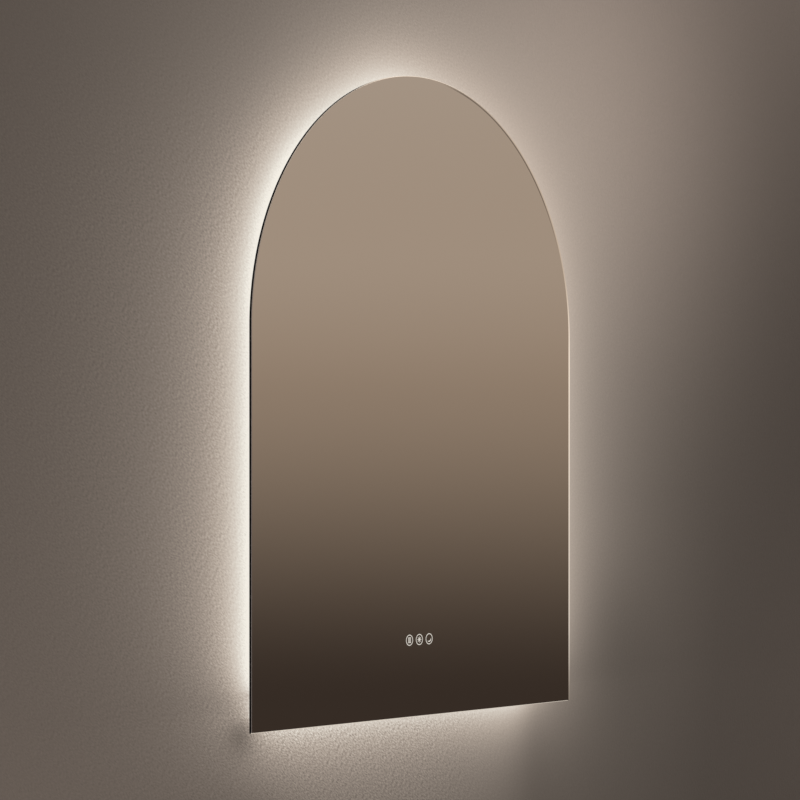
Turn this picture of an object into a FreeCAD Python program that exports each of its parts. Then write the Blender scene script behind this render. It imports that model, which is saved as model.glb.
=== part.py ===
import FreeCAD, Part
import math
import os
from FreeCAD import Vector

# Lighted bathroom mirror: an arched sheet of mirror glass on a shallow aluminium light frame.
# Millimetres. X runs right along the wall, Z up and Y into the wall, whose face is Y = 0.
# The origin is the middle of the row of screw holes in the wall rail.
# A "height" is measured up from the glass's bottom edge, an "inset" inwards from its outline.

# Mirror glass
mirror_width = 800.0
mirror_height = 1000.0
glass_thickness = 5.0
glass_arris = 1.0
rail_height = 750.0         # the wall rail's screw holes

# Layers between the wall and the glass
bumper_thickness = 3.5
frame_depth = 30.0
tape_thickness = 1.2
film_thickness = 0.3
film_inset = 2.0

# Bent light frame
frame_inset = 58.0          # outer face of its web
frame_wall = 1.5
front_flange = 15.5
rear_flange = 12.0
channel_width = 14.0        # between the two lips that hold the diffuser
lip_reach = 4.5
lip_wall = 1.2
bead_height = 0.6
bead_length = 1.0
tape_width = 12.0

# Opal diffuser and light strips
diffuser_reach = 8.0        # outer face, from the web
diffuser_wall = 1.2
clip_gap = 0.3
hook_length = 1.2
corner_gap = 12.0           # from the frame's corner to a diffuser's end
cap_thickness = 1.5
strip_width = 10.0
strip_thickness = 0.4
strip_margin = 4.0          # from a diffuser's end to the strip's end
chip_pitch = 40.0
chip_length = 5.0
chip_width = 5.0
chip_height = 1.6
jumper_width = 6.0
jumper_thickness = 0.6

# Corner brackets
bracket_arm = 45.0
bracket_width = 18.0
bracket_wall = 2.0
bracket_screw = 28.0        # from the corner, on each arm
small_screw = 1.5           # shank radius
screw_gap = 0.1
small_head = 2.9
small_head_height = 1.6

# Wall rail and hanger
rail_length = 440.0
rail_plate = 30.0
rail_wall = 2.0
rail_hole = 2.75
rail_hole_outer = 400.0     # between centres
rail_hole_inner = 133.0
rail_reach = 6.5            # wall to the front of the rail's lip
lip_rise = 14.0
hanger_wall = 2.0
hanger_plate = 34.0
hook_length_x = 460.0
hook_side_gap = 0.8
hook_tip_gap = 0.3
lead_in = 0.8
hanger_end_gap = 0.5
slot_length = 70.0
slot_width = 12.0
slot_pitch = 110.0
slot_count = 4
rivet_shank = 1.6
rivet_head = 3.0
rivet_head_height = 1.2
rivet_steps = [9.0, 27.0]   # up from the hanger plate's lower edge

# Rubber bumpers
bumper_length = 30.0
bumper_width = 10.0
bumper_height = 200.0
bumper_spacing = 440.0

# Leads
lead_depth = 28.5           # centre line, from the wall
mains_lead = 2.5            # radius
low_lead = 1.8
earth_lead_radius = 1.5
entry_gap = 0.2
lead_tail = 4.0             # how far a lead reaches into a housing
touch_bend = 30.0
touch_lead_left = 90.0      # from the power supply's left end
side_lead_inset = 15.0      # demister and earth leads, from the wiring box's right side
lights_bend = 60.0
lights_run = 25.0           # straight lead into the light channel
lights_step = 35.0          # along the wall while the lead steps back
lead_poke = 1.0             # past the inside of a thin wall
grommet_wall = 2.4
grommet_lip = 1.6
grommet_lip_thickness = 1.5
clip_width = 12.0
clip_length = 8.0
clip_wall = 1.6
clip_slit = 1.4

# Power supply
pad_thickness = 1.2
pad_width = 30.0
pad_inset = 10.0            # from a housing's ends
pad_margin = 5.0            # from its upper and lower sides
driver_left = -230.0
driver_length = 180.0
driver_width = 46.0
driver_height = 190.0
driver_base_depth = 13.5
driver_cover_depth = 8.5
case_wall = 1.8
case_corner = 3.0
case_edge = 0.9
small_corner = 2.5
tongue_height = 2.0
tongue_wall = 0.8
boss_radius = 3.4
boss_inset = 5.4
board_thickness = 1.6
board_rest = 3.0
board_rib = 2.0
board_gap = 6.0             # from the screw bosses
part_gap = 1.0              # from the tallest part to the cover
transformer_length = 28.0
transformer_width = 24.0
heat_sink_wall = 3.0
heat_sink_inset = 20.0
heat_sink_height = 12.0
capacitor_radius = 5.5
capacitor_height = 13.0
capacitor_pitch = 16.0
vent_count = 7
vent_pitch = 8.0
vent_width = 2.5
vent_length = 22.0
case_screw = 1.4
case_screw_length = 14.0
lead_spread = 9.0

# Wiring box
box_left = 60.0
box_width = 120.0
box_height_above = 180.0
box_height = 60.0
box_depth = 22.5
box_wall = 1.8
lid_wall = 1.8
lid_gap = 0.3
lid_skirt = 3.5
lid_tab = 4.0
lid_tab_width = 24.0
pin_radius = 1.5
pin_gap = 0.05
knuckle_radius = 3.2
knuckle_gap = 0.4
knuckle_length = 20.0
knuckle_end_gap = 0.15
hinge_sink = 0.5
pin_head = 2.4
pin_head_length = 1.2

# Terminal block
terminal_ways = 3
terminal_pitch = 16.0
terminal_height = 18.0
terminal_depth = 14.0
terminal_top_gap = 6.0
terminal_wire = 2.0
terminal_screw = 2.6
terminal_screw_sink = 4.0
terminal_slot = 2.0

# Cable gland
gland_left = 40.0           # from the wiring box's left side
gland_depth = 22.5          # from the wall
gland_flats = 16.0
gland_flange = 4.0
gland_thread = 6.0
gland_shank = 7.0
gland_collar = 8.0
gland_bore = 3.7
gland_pocket = 5.0
seal_bore = 3.4
seal_length = 6.5
cap_bore = 3.9
cap_length = 13.0
cap_nose = 4.0
cap_step = 1.0
thread_gap = 0.05
locknut_thickness = 3.5

# Earth connection
earth_offset = 7.0          # screw from lead
earth_depth = 27.5
lug_ring = 4.0
lug_wall = 0.8
barrel_length = 8.0
barrel_wall = 0.7
earth_screw_radius = 1.9
earth_head = 3.5
earth_head_height = 2.2

# Touch controls
touch_height = 119.4
touch_pitch = 25.0
touch_count = 3
touch_width = 100.0
touch_breadth = 38.0
touch_depth = 10.0
touch_wall = 1.2
guide_outer = 11.5
guide_inner = 9.7
guide_length = 6.0
guide_plate = 1.5
guide_rim = 1.0
electrode_thickness = 0.3
touch_board_width = 80.0
touch_board_breadth = 30.0
touch_board_thickness = 1.2
lamp_side = 3.0
lamp_height = 1.2
post_radius = 1.8
window_margin = 2.0

# Demister
demister_width = 400.0
demister_length = 420.0
demister_height = 300.0
demister_thickness = 0.5
demister_corner = 12.0
terminal_cap_width = 30.0
terminal_cap_breadth = 20.0
terminal_cap_depth = 8.0
terminal_cap_inset = 10.0

# Places worked out from the sizes above
half_width = mirror_width / 2
bottom_z = -rail_height
spring_z = bottom_z + mirror_height - half_width
frame_back = -bumper_thickness
frame_front = frame_back - frame_depth
film_back = frame_front - tape_thickness
glass_back = film_back - film_thickness
glass_front = glass_back - glass_thickness
frame_mid = (frame_back + frame_front) / 2
web_inner = frame_inset + frame_wall
pad_back = film_back + pad_thickness
member_end = frame_inset + corner_gap       # inset from the corner of a diffuser's end
strip_end = member_end + strip_margin
lead_y = -lead_depth
touch_lead_x = driver_left + touch_lead_left
side_lead_x = box_left + box_width - side_lead_inset
up = Vector(0, 0, 1)
back = Vector(0, 1, 0)
right = Vector(1, 0, 0)


def block(x_range, y_range, z_range):
    corner = Vector(min(x_range), min(y_range), min(z_range))
    size = Vector(max(x_range), max(y_range), max(z_range)) - corner
    return Part.makeBox(size.x, size.y, size.z, corner)


def cornered_block(x_range, y_range, z_range, corner):
    # A block whose four edges along Y are cut off at 45 degrees.
    body = block(x_range, y_range, z_range)
    limit = 0.49 * min(abs(x_range[1] - x_range[0]), abs(z_range[1] - z_range[0]))
    edges = [e for e in body.Edges if abs(e.tangentAt(e.FirstParameter).y) > 0.9]
    return body.makeChamfer(min(corner, limit), edges)


def turned(radius, start, direction, length):
    return Part.makeCylinder(radius, length, start, direction)


def many_sided_face(radius, start, direction, sides, first=0.5):
    along = Vector(direction).normalize()
    aside = back if abs(along.y) < 0.9 else right
    across = aside.cross(along).normalize()
    other = along.cross(across)
    corners = []
    for i in range(sides + 1):
        angle = 2 * math.pi * (i + first) / sides
        corners.append(start + across * (radius * math.cos(angle)) + other * (radius * math.sin(angle)))
    return Part.Face(Part.makePolygon(corners))


def rod(radius, start, direction, length):
    # Small round pieces and holes are many-sided, and a piece and its hole have like corners.
    sides = 8 if radius < 3.6 else 12
    return many_sided_face(radius, start, direction, sides).extrude(Vector(direction) * length)


def hexagon(flats, start, length):
    # A six-sided bar along Z with two of its flats facing Y.
    return many_sided_face(flats / math.sqrt(3), start, up, 6, first=0).extrude(up * length)


def polygon_bar(points, start_x, length):
    # An outline of (y, z) points carried along X.
    corners = [Vector(start_x, y, z) for y, z in points]
    return Part.Face(Part.makePolygon(corners + corners[:1])).extrude(right * length)


def joined(shapes):
    return shapes[0].fuse(shapes[1:]).removeSplitter()


def mirrored(shape):
    return shape.mirror(Vector(0, 0, 0), right)


def outline_face(inset, y):
    # The mirror's outline: straight sides, a full half circle on top and square bottom corners.
    reach = half_width - inset
    low = bottom_z + inset
    points = [Vector(reach, y, spring_z), Vector(0, y, spring_z + reach), Vector(-reach, y, spring_z),
              Vector(-reach, y, low), Vector(reach, y, low)]
    edges = [Part.Arc(*points[:3]).toShape()]
    for start, end in zip(points[2:], points[3:] + points[:1]):
        edges.append(Part.LineSegment(start, end).toShape())
    return Part.Face(Part.Wire(edges))


def arch_member(section, end_height):
    # A section of (inset, y) points carried up one side, round the arch and down the other.
    corners = [Vector(half_width - inset, y, spring_z) for inset, y in section]
    face = Part.Face(Part.makePolygon(corners + corners[:1]))
    bend = face.revolve(Vector(0, 0, spring_z), Vector(0, -1, 0), 180)
    leg = face.extrude(up * (bottom_z + end_height - spring_z))
    return joined([bend, leg, mirrored(leg)])


def bottom_member(section, end_inset):
    # The same section along the bottom, its ends at an inset from the glass's sides.
    reach = half_width - end_inset
    points = [(y, bottom_z + inset) for inset, y in section]
    return polygon_bar(points, -reach, 2 * reach)


def mitre_wedge():
    # What lies below the two 45 degree lines that start at the glass's bottom corners.
    reach = frame_inset + front_flange + frame_wall
    points = [(-half_width, 0), (half_width, 0), (half_width - reach, reach), (reach - half_width, reach)]
    corners = [Vector(x, glass_front, bottom_z + z) for x, z in points]
    return Part.Face(Part.makePolygon(corners + corners[:1])).extrude(back * -glass_front)


def arch_points(inset, end_height, pitch):
    # Evenly spaced places along the inset outline from one lower end round to the other,
    # each with the turn about Y that faces it outwards.
    radius = half_width - inset
    leg = spring_z - bottom_z - end_height
    length = 2 * leg + math.pi * radius
    count = int(length / pitch)
    places = []
    for i in range(count):
        run = (length - (count - 1) * pitch) / 2 + i * pitch
        if run < leg:
            places.append((-radius, spring_z - leg + run, 180.0))
        elif run > length - leg:
            places.append((radius, spring_z - leg + length - run, 0.0))
        else:
            angle = math.pi - (run - leg) / radius
            x, z = radius * math.cos(angle), spring_z + radius * math.sin(angle)
            places.append((x, z, -math.degrees(angle)))
    return places


# ---- glass and what is bonded to it

def mirror_glass():
    sheet = outline_face(0, glass_front).extrude(back * glass_thickness)
    rim = [e for e in sheet.Edges if abs(e.BoundBox.YMax - e.BoundBox.YMin) < 0.01]
    return sheet.makeChamfer(min(glass_arris, 0.45 * glass_thickness), rim)


def touch_x(i):
    return (i - (touch_count - 1) / 2) * touch_pitch


def backing_film():
    film = outline_face(film_inset, glass_back).extrude(back * film_thickness)
    reach = touch_width / 2 + window_margin
    breadth = touch_breadth / 2 + window_margin
    middle = bottom_z + touch_height
    window = cornered_block((-reach, reach), (glass_back, film_back), (middle - breadth, middle + breadth),
                            small_corner)
    return film.cut(window)


def tape_section():
    inner = web_inner + (front_flange - frame_wall - tape_width) / 2
    return [(inner, frame_front), (inner + tape_width, frame_front),
            (inner + tape_width, film_back), (inner, film_back)]


def bonding_tape_arch():
    return arch_member(tape_section(), 0).cut(mitre_wedge())


def bonding_tape_bottom():
    return bottom_member(tape_section(), 0).common(mitre_wedge())


# ---- light frame

def frame_section():
    # Web with a front and a rear flange turned inwards, and two lips turned outwards. Each lip
    # ends in a bead that the diffuser clips over.
    half = channel_width / 2
    tip = frame_inset - lip_reach
    bead_end = tip + bead_length
    front = [(frame_inset + front_flange, frame_front + frame_wall),
             (frame_inset + front_flange, frame_front), (frame_inset, frame_front)]
    lip_front = [(frame_inset, frame_mid - half - lip_wall), (bead_end, frame_mid - half - lip_wall),
                 (bead_end, frame_mid - half - lip_wall - bead_height),
                 (tip, frame_mid - half - lip_wall), (tip, frame_mid - half),
                 (frame_inset, frame_mid - half)]
    lip_back = [(inset, 2 * frame_mid - y) for inset, y in reversed(lip_front)]
    rear = [(frame_inset, frame_back), (frame_inset + rear_flange, frame_back),
            (frame_inset + rear_flange, frame_back - frame_wall),
            (web_inner, frame_back - frame_wall), (web_inner, frame_front + frame_wall)]
    return front + lip_front + lip_back + rear


def hanger_bottom():
    return rail_plate / 2 + lip_rise


def rivet_places():
    # On the middle of the rear flange where it crosses the hanger plate, both sides.
    radius = half_width - (web_inner + frame_inset + rear_flange) / 2
    places = []
    for step in rivet_steps:
        z = hanger_bottom() + step
        x = math.sqrt(radius ** 2 - (z - spring_z) ** 2)
        places += [(x, z), (-x, z)]
    return places


def corner_holes(radius):
    # Along X through the legs and along Z through the bottom, both corners.
    inner = half_width - web_inner
    side = Vector(inner - bracket_wall, frame_mid, bottom_z + web_inner + bracket_screw)
    base = Vector(inner - bracket_screw, frame_mid, bottom_z + frame_inset)
    length = bracket_wall + frame_wall
    holes = [rod(radius, side, right, length), rod(radius, base, up, length)]
    return holes + [mirrored(hole) for hole in holes]


def lead_hole_height():
    return bottom_z + driver_height + driver_width / 2 + lead_spread


def frame_arch():
    frame = arch_member(frame_section(), 0).cut(mitre_wedge())
    cuts = corner_holes(small_screw + screw_gap)
    for x, z in rivet_places():
        cuts.append(rod(rivet_shank + screw_gap, Vector(x, frame_back - frame_wall, z), back, frame_wall))
    web = Vector(-half_width + frame_inset, frame_mid, lead_hole_height())
    cuts.append(rod(grommet_sleeve() + screw_gap, web, right, frame_wall))
    return frame.cut(cuts)


def frame_bottom():
    frame = bottom_member(frame_section(), 0).common(mitre_wedge())
    cuts = corner_holes(small_screw + screw_gap)
    start = Vector(side_lead_x - earth_offset, -earth_depth, bottom_z + frame_inset)
    cuts.append(rod(earth_screw_radius + screw_gap, start, up, frame_wall))
    return frame.cut(cuts)


def corner_bracket_right():
    outer = half_width - web_inner
    low = bottom_z + web_inner
    y_range = (frame_mid - bracket_width / 2, frame_mid + bracket_width / 2)
    arms = [block((outer - bracket_arm, outer), y_range, (low, low + bracket_wall)),
            block((outer - bracket_wall, outer), y_range, (low, low + bracket_arm))]
    bracket = joined(arms)
    inside = Vector(outer - bracket_wall, frame_mid, low + bracket_wall)
    bend = [e for e in bracket.Edges if (e.CenterOfMass - inside).Length < 0.01]
    bracket = bracket.makeChamfer(bracket_wall, bend)
    return bracket.cut(corner_holes(small_screw + screw_gap))


def corner_screws():
    inner = half_width - web_inner
    side = Vector(inner - bracket_wall, frame_mid, bottom_z + web_inner + bracket_screw)
    base = Vector(inner - bracket_screw, frame_mid, bottom_z + web_inner + bracket_wall)
    screws = []
    for seat, way in ((side, right), (base, -up)):
        head = rod(small_head, seat, -way, small_head_height)
        screws.append(joined([head, rod(small_screw, seat, way, bracket_wall + frame_wall)]))
    return Part.makeCompound(screws + [mirrored(screw) for screw in screws])


# ---- light strips and diffuser

def diffuser_section():
    # A channel with two inward hooks that close behind the beads on the frame's lips.
    outer = frame_inset - diffuser_reach
    inner = outer + diffuser_wall
    half = channel_width / 2 + lip_wall + bead_height + clip_gap
    hook = frame_inset - lip_reach + bead_length + clip_gap
    reach = bead_height
    side = [(outer, frame_mid - half - diffuser_wall), (hook + hook_length, frame_mid - half - diffuser_wall),
            (hook + hook_length, frame_mid - half), (hook, frame_mid - half + reach), (hook, frame_mid - half),
            (inner, frame_mid - half)]
    return side + [(inset, 2 * frame_mid - y) for inset, y in reversed(side)]


def diffuser_arch():
    return arch_member(diffuser_section(), member_end)


def diffuser_bottom():
    return bottom_member(diffuser_section(), member_end)


def cap_section():
    # Closes the channel in front of the lips, with a tongue between them.
    outer = frame_inset - diffuser_reach
    half = channel_width / 2 + lip_wall + bead_height + clip_gap + diffuser_wall
    front = frame_inset - lip_reach - clip_gap
    tongue = channel_width / 2 - clip_gap
    side = [(outer, frame_mid - half), (front, frame_mid - half), (front, frame_mid - tongue),
            (frame_inset - max(strip_thickness, jumper_thickness) - clip_gap, frame_mid - tongue)]
    return side + [(inset, 2 * frame_mid - y) for inset, y in reversed(side)]


def diffuser_end_caps():
    section = cap_section()
    corners = [Vector(half_width - inset, y, bottom_z + member_end - cap_thickness) for inset, y in section]
    leg_cap = Part.Face(Part.makePolygon(corners + corners[:1])).extrude(up * cap_thickness)
    points = [(y, bottom_z + inset) for inset, y in section]
    bottom_cap = polygon_bar(points, half_width - member_end, cap_thickness)
    return Part.makeCompound([leg_cap, mirrored(leg_cap), bottom_cap, mirrored(bottom_cap)])


def strip_section():
    half = strip_width / 2
    top = frame_inset - strip_thickness
    return [(top, frame_mid - half), (frame_inset, frame_mid - half),
            (frame_inset, frame_mid + half), (top, frame_mid + half)]


def led_strip_arch():
    return arch_member(strip_section(), strip_end)


def led_strip_bottom():
    return bottom_member(strip_section(), strip_end)


def chip(x, z, turn):
    body = block((0, chip_height), (-chip_width / 2, chip_width / 2), (-chip_length / 2, chip_length / 2))
    body.rotate(Vector(0, 0, 0), back, turn)
    body.translate(Vector(x, frame_mid, z))
    return body


def led_chips_arch():
    places = arch_points(frame_inset - strip_thickness, strip_end + chip_length, chip_pitch)
    return Part.makeCompound([chip(*place) for place in places])


def led_chips_bottom():
    reach = half_width - strip_end - chip_length
    count = int(2 * reach / chip_pitch)
    z = bottom_z + frame_inset - strip_thickness
    return Part.makeCompound([chip((i - (count - 1) / 2) * chip_pitch, z, 90.0) for i in range(count)])


def strip_jumper():
    # Carries the supply round the lower left corner from one strip's end to the other's.
    y_range = (frame_mid - jumper_width / 2, frame_mid + jumper_width / 2)
    face = frame_inset - jumper_thickness
    left = -half_width
    leg = block((left + face, left + frame_inset), y_range, (bottom_z + face, bottom_z + strip_end))
    foot = block((left + face, left + strip_end), y_range, (bottom_z + face, bottom_z + frame_inset))
    return joined([leg, foot])


# ---- hanging rail

def wall_rail():
    # Flat plate against the wall, with a shelf and an upright lip that the hanger hooks over.
    top = rail_plate / 2
    lip_top = top + lip_rise
    lip_inner = -rail_reach + rail_wall
    section = [(0, -top), (0, top), (lip_inner, top), (lip_inner, lip_top - lead_in),
               (lip_inner - lead_in, lip_top), (-rail_reach, lip_top), (-rail_reach, top - rail_wall),
               (-rail_wall, top - rail_wall), (-rail_wall, -top)]
    rail = polygon_bar(section, -rail_length / 2, rail_length)
    holes = []
    for spacing in (rail_hole_outer, rail_hole_inner):
        for side in (-1, 1):
            start = Vector(side * spacing / 2, -rail_wall, 0)
            holes.append(turned(rail_hole, start, back, rail_wall))
    return rail.cut(holes)


def hanger_bar():
    # A hook that drops behind the rail's lip, and a plate riveted across the arch.
    hook_front = -rail_reach + rail_wall + hook_side_gap
    hook_back = hook_front + hanger_wall
    tip = rail_plate / 2 + hook_tip_gap
    low = hanger_bottom()
    plate_back = frame_back - frame_wall
    plate_front = plate_back - hanger_wall
    hook = [(hook_front, low), (hook_front, tip + lead_in), (hook_front + lead_in / 2, tip),
            (hook_back - lead_in / 2, tip), (hook_back, tip + lead_in),
            (hook_back, low + hanger_wall), (plate_back, low + hanger_wall), (plate_front, low + hanger_wall),
            (plate_front, low)]
    strip = polygon_bar(hook, -hook_length_x / 2, hook_length_x)
    plate = block((-half_width, half_width), (plate_front, plate_back), (low, low + hanger_plate))
    end = turned(half_width - web_inner - hanger_end_gap, Vector(0, plate_front, spring_z), back, hanger_wall)
    bar = joined([strip, plate.common(end)])
    return bar.cut(hanger_slots(plate_front) + rivet_bores(plate_front))


def hanger_slots(plate_front):
    middle = hanger_bottom() + hanger_wall + (hanger_plate - hanger_wall) / 2
    slots = []
    for i in range(slot_count):
        x = (i - (slot_count - 1) / 2) * slot_pitch
        slots.append(cornered_block((x - slot_length / 2, x + slot_length / 2),
                                    (plate_front, plate_front + hanger_wall),
                                    (middle - slot_width / 2, middle + slot_width / 2), slot_width / 3))
    return slots


def rivet_bores(plate_front):
    return [rod(rivet_shank + screw_gap, Vector(x, plate_front, z), back, hanger_wall)
            for x, z in rivet_places()]


def hanger_rivets():
    # A head either side of the flange and the plate.
    front = frame_back - frame_wall - hanger_wall
    rivets = []
    for x, z in rivet_places():
        shank = rod(rivet_shank, Vector(x, front, z), back, frame_back - front)
        seats = ((Vector(x, front, z), -back), (Vector(x, frame_back, z), back))
        heads = [rod(rivet_head, seat, way, rivet_head_height) for seat, way in seats]
        rivets.append(joined([shank] + heads))
    return Part.makeCompound(rivets)


def wall_bumpers():
    inset = (frame_inset + frame_wall + frame_inset + rear_flange) / 2
    side = half_width - inset
    z = bottom_z + bumper_height
    upright = (z - bumper_length / 2, z + bumper_length / 2)
    low = bottom_z + inset
    pads = []
    for way in (-1, 1):
        x = way * side
        pads.append(cornered_block((x - bumper_width / 2, x + bumper_width / 2), (frame_back, 0), upright,
                                   small_corner))
        x = way * bumper_spacing / 2
        pads.append(cornered_block((x - bumper_length / 2, x + bumper_length / 2), (frame_back, 0),
                                   (low - bumper_width / 2, low + bumper_width / 2), small_corner))
    return Part.makeCompound(pads)


# ---- power supply

driver_x = (driver_left, driver_left + driver_length)
driver_z = (bottom_z + driver_height, bottom_z + driver_height + driver_width)
driver_mid_z = sum(driver_z) / 2
driver_rim = pad_back + driver_base_depth
driver_back = driver_rim + driver_cover_depth


def inset_range(pair, inset):
    return (pair[0] + inset, pair[1] - inset)


def driver_corners():
    xs = inset_range(driver_x, boss_inset)
    zs = inset_range(driver_z, boss_inset)
    return [(x, z) for x in xs for z in zs]


def driver_entries():
    # Holes through the supply's walls for the mains, light and touch leads.
    through = 2 * case_wall
    return [rod(mains_lead + entry_gap, Vector(driver_x[1] - case_wall, lead_y, driver_mid_z), right, through),
            rod(low_lead + entry_gap, Vector(driver_x[0] - case_wall, lead_y, lead_hole_height()), right, through),
            rod(low_lead + entry_gap, Vector(touch_lead_x, lead_y, driver_z[0] - case_wall), up, through)]


def driver_base():
    # Open tray with a tongue round its rim that locates the cover.
    shell = cornered_block(driver_x, (pad_back, driver_rim), driver_z, case_corner)
    inner = (inset_range(driver_x, case_wall), inset_range(driver_z, case_wall))
    inside = cornered_block(inner[0], (pad_back + case_wall, driver_rim), inner[1], case_corner - case_wall)
    outer = case_wall - tongue_wall
    rise = (driver_rim - tongue_height, driver_rim + tongue_height)
    tongue = cornered_block(inset_range(driver_x, outer), rise, inset_range(driver_z, outer), case_corner - outer)
    tongue = tongue.cut(cornered_block(inner[0], rise, inner[1], case_corner - case_wall))
    pieces = [shell.cut(inside), tongue]
    floor = pad_back + case_wall
    for x, z in driver_corners():
        pieces.append(rod(boss_radius, Vector(x, floor, z), back, driver_rim - floor))
    for x in inset_range(driver_x, driver_length / 4):
        pieces.append(block((x - board_rib / 2, x + board_rib / 2), (floor, floor + board_rest),
                            inset_range(driver_z, case_wall)))
    base = joined(pieces)
    cuts = [rod(case_screw + screw_gap, Vector(x, driver_back - case_screw_length, z), back, case_screw_length)
            for x, z in driver_corners()]
    return base.cut(cuts + driver_entries())


def driver_cover():
    # Vented lid with a recess that drops over the base's tongue.
    shell = cornered_block(driver_x, (driver_rim, driver_back), driver_z, case_corner)
    rim = [e for e in shell.Edges if e.BoundBox.YMin > driver_back - 0.01]
    shell = shell.makeChamfer(min(case_edge, 0.5 * case_wall), rim)
    inside = cornered_block(inset_range(driver_x, case_wall), (driver_rim, driver_back - case_wall),
                            inset_range(driver_z, case_wall), case_corner - case_wall)
    outer = case_wall - tongue_wall - entry_gap
    recess = cornered_block(inset_range(driver_x, outer), (driver_rim, driver_rim + tongue_height + entry_gap),
                            inset_range(driver_z, outer), case_corner - outer)
    pieces = [shell.cut([inside, recess])]
    start = driver_rim
    for x, z in driver_corners():
        pieces.append(rod(boss_radius, Vector(x, start, z), back, driver_back - case_wall - start))
    cover = joined(pieces)
    wide = driver_x[0] + driver_length / 2 - (vent_count - 1) / 2 * vent_pitch
    cuts = []
    for i in range(vent_count):
        x = wide + i * vent_pitch
        cuts.append(block((x - vent_width / 2, x + vent_width / 2), (driver_back - case_wall, driver_back),
                          (driver_mid_z - vent_length / 2, driver_mid_z + vent_length / 2)))
    for x, z in driver_corners():
        cuts.append(rod(case_screw + screw_gap, Vector(x, driver_rim, z), back, driver_cover_depth))
    return cover.cut(cuts)


def driver_board():
    # Circuit board with its transformer, two capacitors and a heat sink.
    seat = pad_back + case_wall + board_rest
    face = seat + board_thickness
    room = driver_back - case_wall - face - part_gap
    xs = inset_range(driver_x, boss_inset + boss_radius + board_gap)
    zs = inset_range(driver_z, lead_tail + part_gap)
    middle = sum(xs) / 2
    core_x = (middle - transformer_length / 2, middle + transformer_length / 2)
    core_z = (driver_mid_z - transformer_width / 2, driver_mid_z + transformer_width / 2)
    sink_x = (xs[0] + heat_sink_inset, xs[0] + heat_sink_inset + heat_sink_wall)
    pieces = [block(xs, (seat, face), zs),
              block(core_x, (face, face + room), core_z),
              block(sink_x, (face, face + min(room, heat_sink_height)), inset_range(zs, board_gap))]
    for i in (1, 2):
        place = Vector(xs[1] - i * capacitor_pitch, face, driver_mid_z)
        pieces.append(rod(capacitor_radius, place, back, min(room, capacitor_height)))
    return joined(pieces)


def driver_screws():
    screws = []
    for x, z in driver_corners():
        seat = Vector(x, driver_back, z)
        head = rod(small_head, seat, back, small_head_height)
        screws.append(joined([head, rod(case_screw, seat, -back, case_screw_length)]))
    return Part.makeCompound(screws)


# ---- wiring box

box_x = (box_left, box_left + box_width)
box_z = (bottom_z + box_height_above, bottom_z + box_height_above + box_height)
box_rim = pad_back + box_depth
lid_inner = box_rim + lid_gap
hinge_y = box_rim - hinge_sink
hinge_z = box_z[1] + knuckle_gap + knuckle_radius
box_mid_x = sum(box_x) / 2
gland_x = box_left + gland_left


def knuckle(x_range):
    return turned(knuckle_radius, Vector(x_range[0], hinge_y, hinge_z), right, x_range[1] - x_range[0])


def knuckle_spans():
    # Left and right spans on the base, and the middle one on the lid.
    half = knuckle_length / 2
    middle = (box_mid_x - half + knuckle_end_gap, box_mid_x + half - knuckle_end_gap)
    left = (box_mid_x - half - knuckle_length, box_mid_x - half - knuckle_end_gap)
    far = (box_mid_x + half + knuckle_end_gap, box_mid_x + half + knuckle_length)
    return left, far, middle


def hinge_bore():
    length = 3 * knuckle_length
    return turned(pin_radius + pin_gap, Vector(box_mid_x - length / 2, hinge_y, hinge_z), right, length)


def wiring_box_base():
    # Open tray with two hinge knuckles on its top edge and a hole for each lead and the gland.
    shell = cornered_block(box_x, (pad_back, box_rim), box_z, case_corner)
    inside = cornered_block(inset_range(box_x, box_wall), (pad_back + box_wall, box_rim),
                            inset_range(box_z, box_wall), case_corner - box_wall)
    pieces = [shell.cut(inside)]
    for span in knuckle_spans()[:2]:
        web = block(span, (hinge_y - knuckle_radius, hinge_y), (box_z[1] - 0.5 * box_wall, hinge_z))
        pieces += [knuckle(span), web]
    base = joined(pieces)
    cuts = [hinge_bore(),
            rod(mains_lead + entry_gap, Vector(box_x[0], lead_y, driver_mid_z), right, box_wall),
            rod(low_lead + entry_gap, Vector(side_lead_x, lead_y, box_z[1] - box_wall), up, box_wall),
            rod(gland_thread + thread_gap, Vector(gland_x, -gland_depth, box_z[0]), up, box_wall),
            rod(earth_lead_radius + entry_gap, Vector(side_lead_x, -earth_depth, box_z[0]), up, box_wall)]
    return base.cut(cuts)


def wiring_box_lid():
    # Flat lid with a skirt round three sides, a finger tab below and its hinge knuckle above.
    outer_x = inset_range(box_x, -lid_gap - lid_wall)
    low = box_z[0] - lid_gap - lid_wall
    top = hinge_z - knuckle_radius - lid_gap
    outer_y = lid_inner + lid_wall
    plate = cornered_block(outer_x, (lid_inner - lid_skirt, outer_y), (low, top), 0.9 * lid_wall)
    hollow = block(inset_range(outer_x, lid_wall), (lid_inner - lid_skirt, lid_inner), (low + lid_wall, top))
    tab_x = (box_mid_x - lid_tab_width / 2, box_mid_x + lid_tab_width / 2)
    tab = block(tab_x, (lid_inner, outer_y), (low - lid_tab, low + lid_wall))
    middle = knuckle_spans()[2]
    web = block(middle, (lid_inner, outer_y), (top - lid_wall, hinge_z))
    lid = joined([plate.cut(hollow), tab, web, knuckle(middle)])
    return lid.cut(hinge_bore())


def lid_hinge_pin():
    length = 3 * knuckle_length
    left = Vector(box_mid_x - length / 2, hinge_y, hinge_z)
    far = left + right * length
    return joined([turned(pin_radius, left, right, length), rod(pin_head, left, -right, pin_head_length),
                   rod(pin_head, far, right, pin_head_length)])


terminal_x = (box_mid_x - terminal_ways * terminal_pitch / 2, box_mid_x + terminal_ways * terminal_pitch / 2)
terminal_z = (box_z[1] - box_wall - terminal_top_gap - terminal_height,
              box_z[1] - box_wall - terminal_top_gap)
terminal_floor = pad_back + box_wall
terminal_back = terminal_floor + terminal_depth


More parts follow.
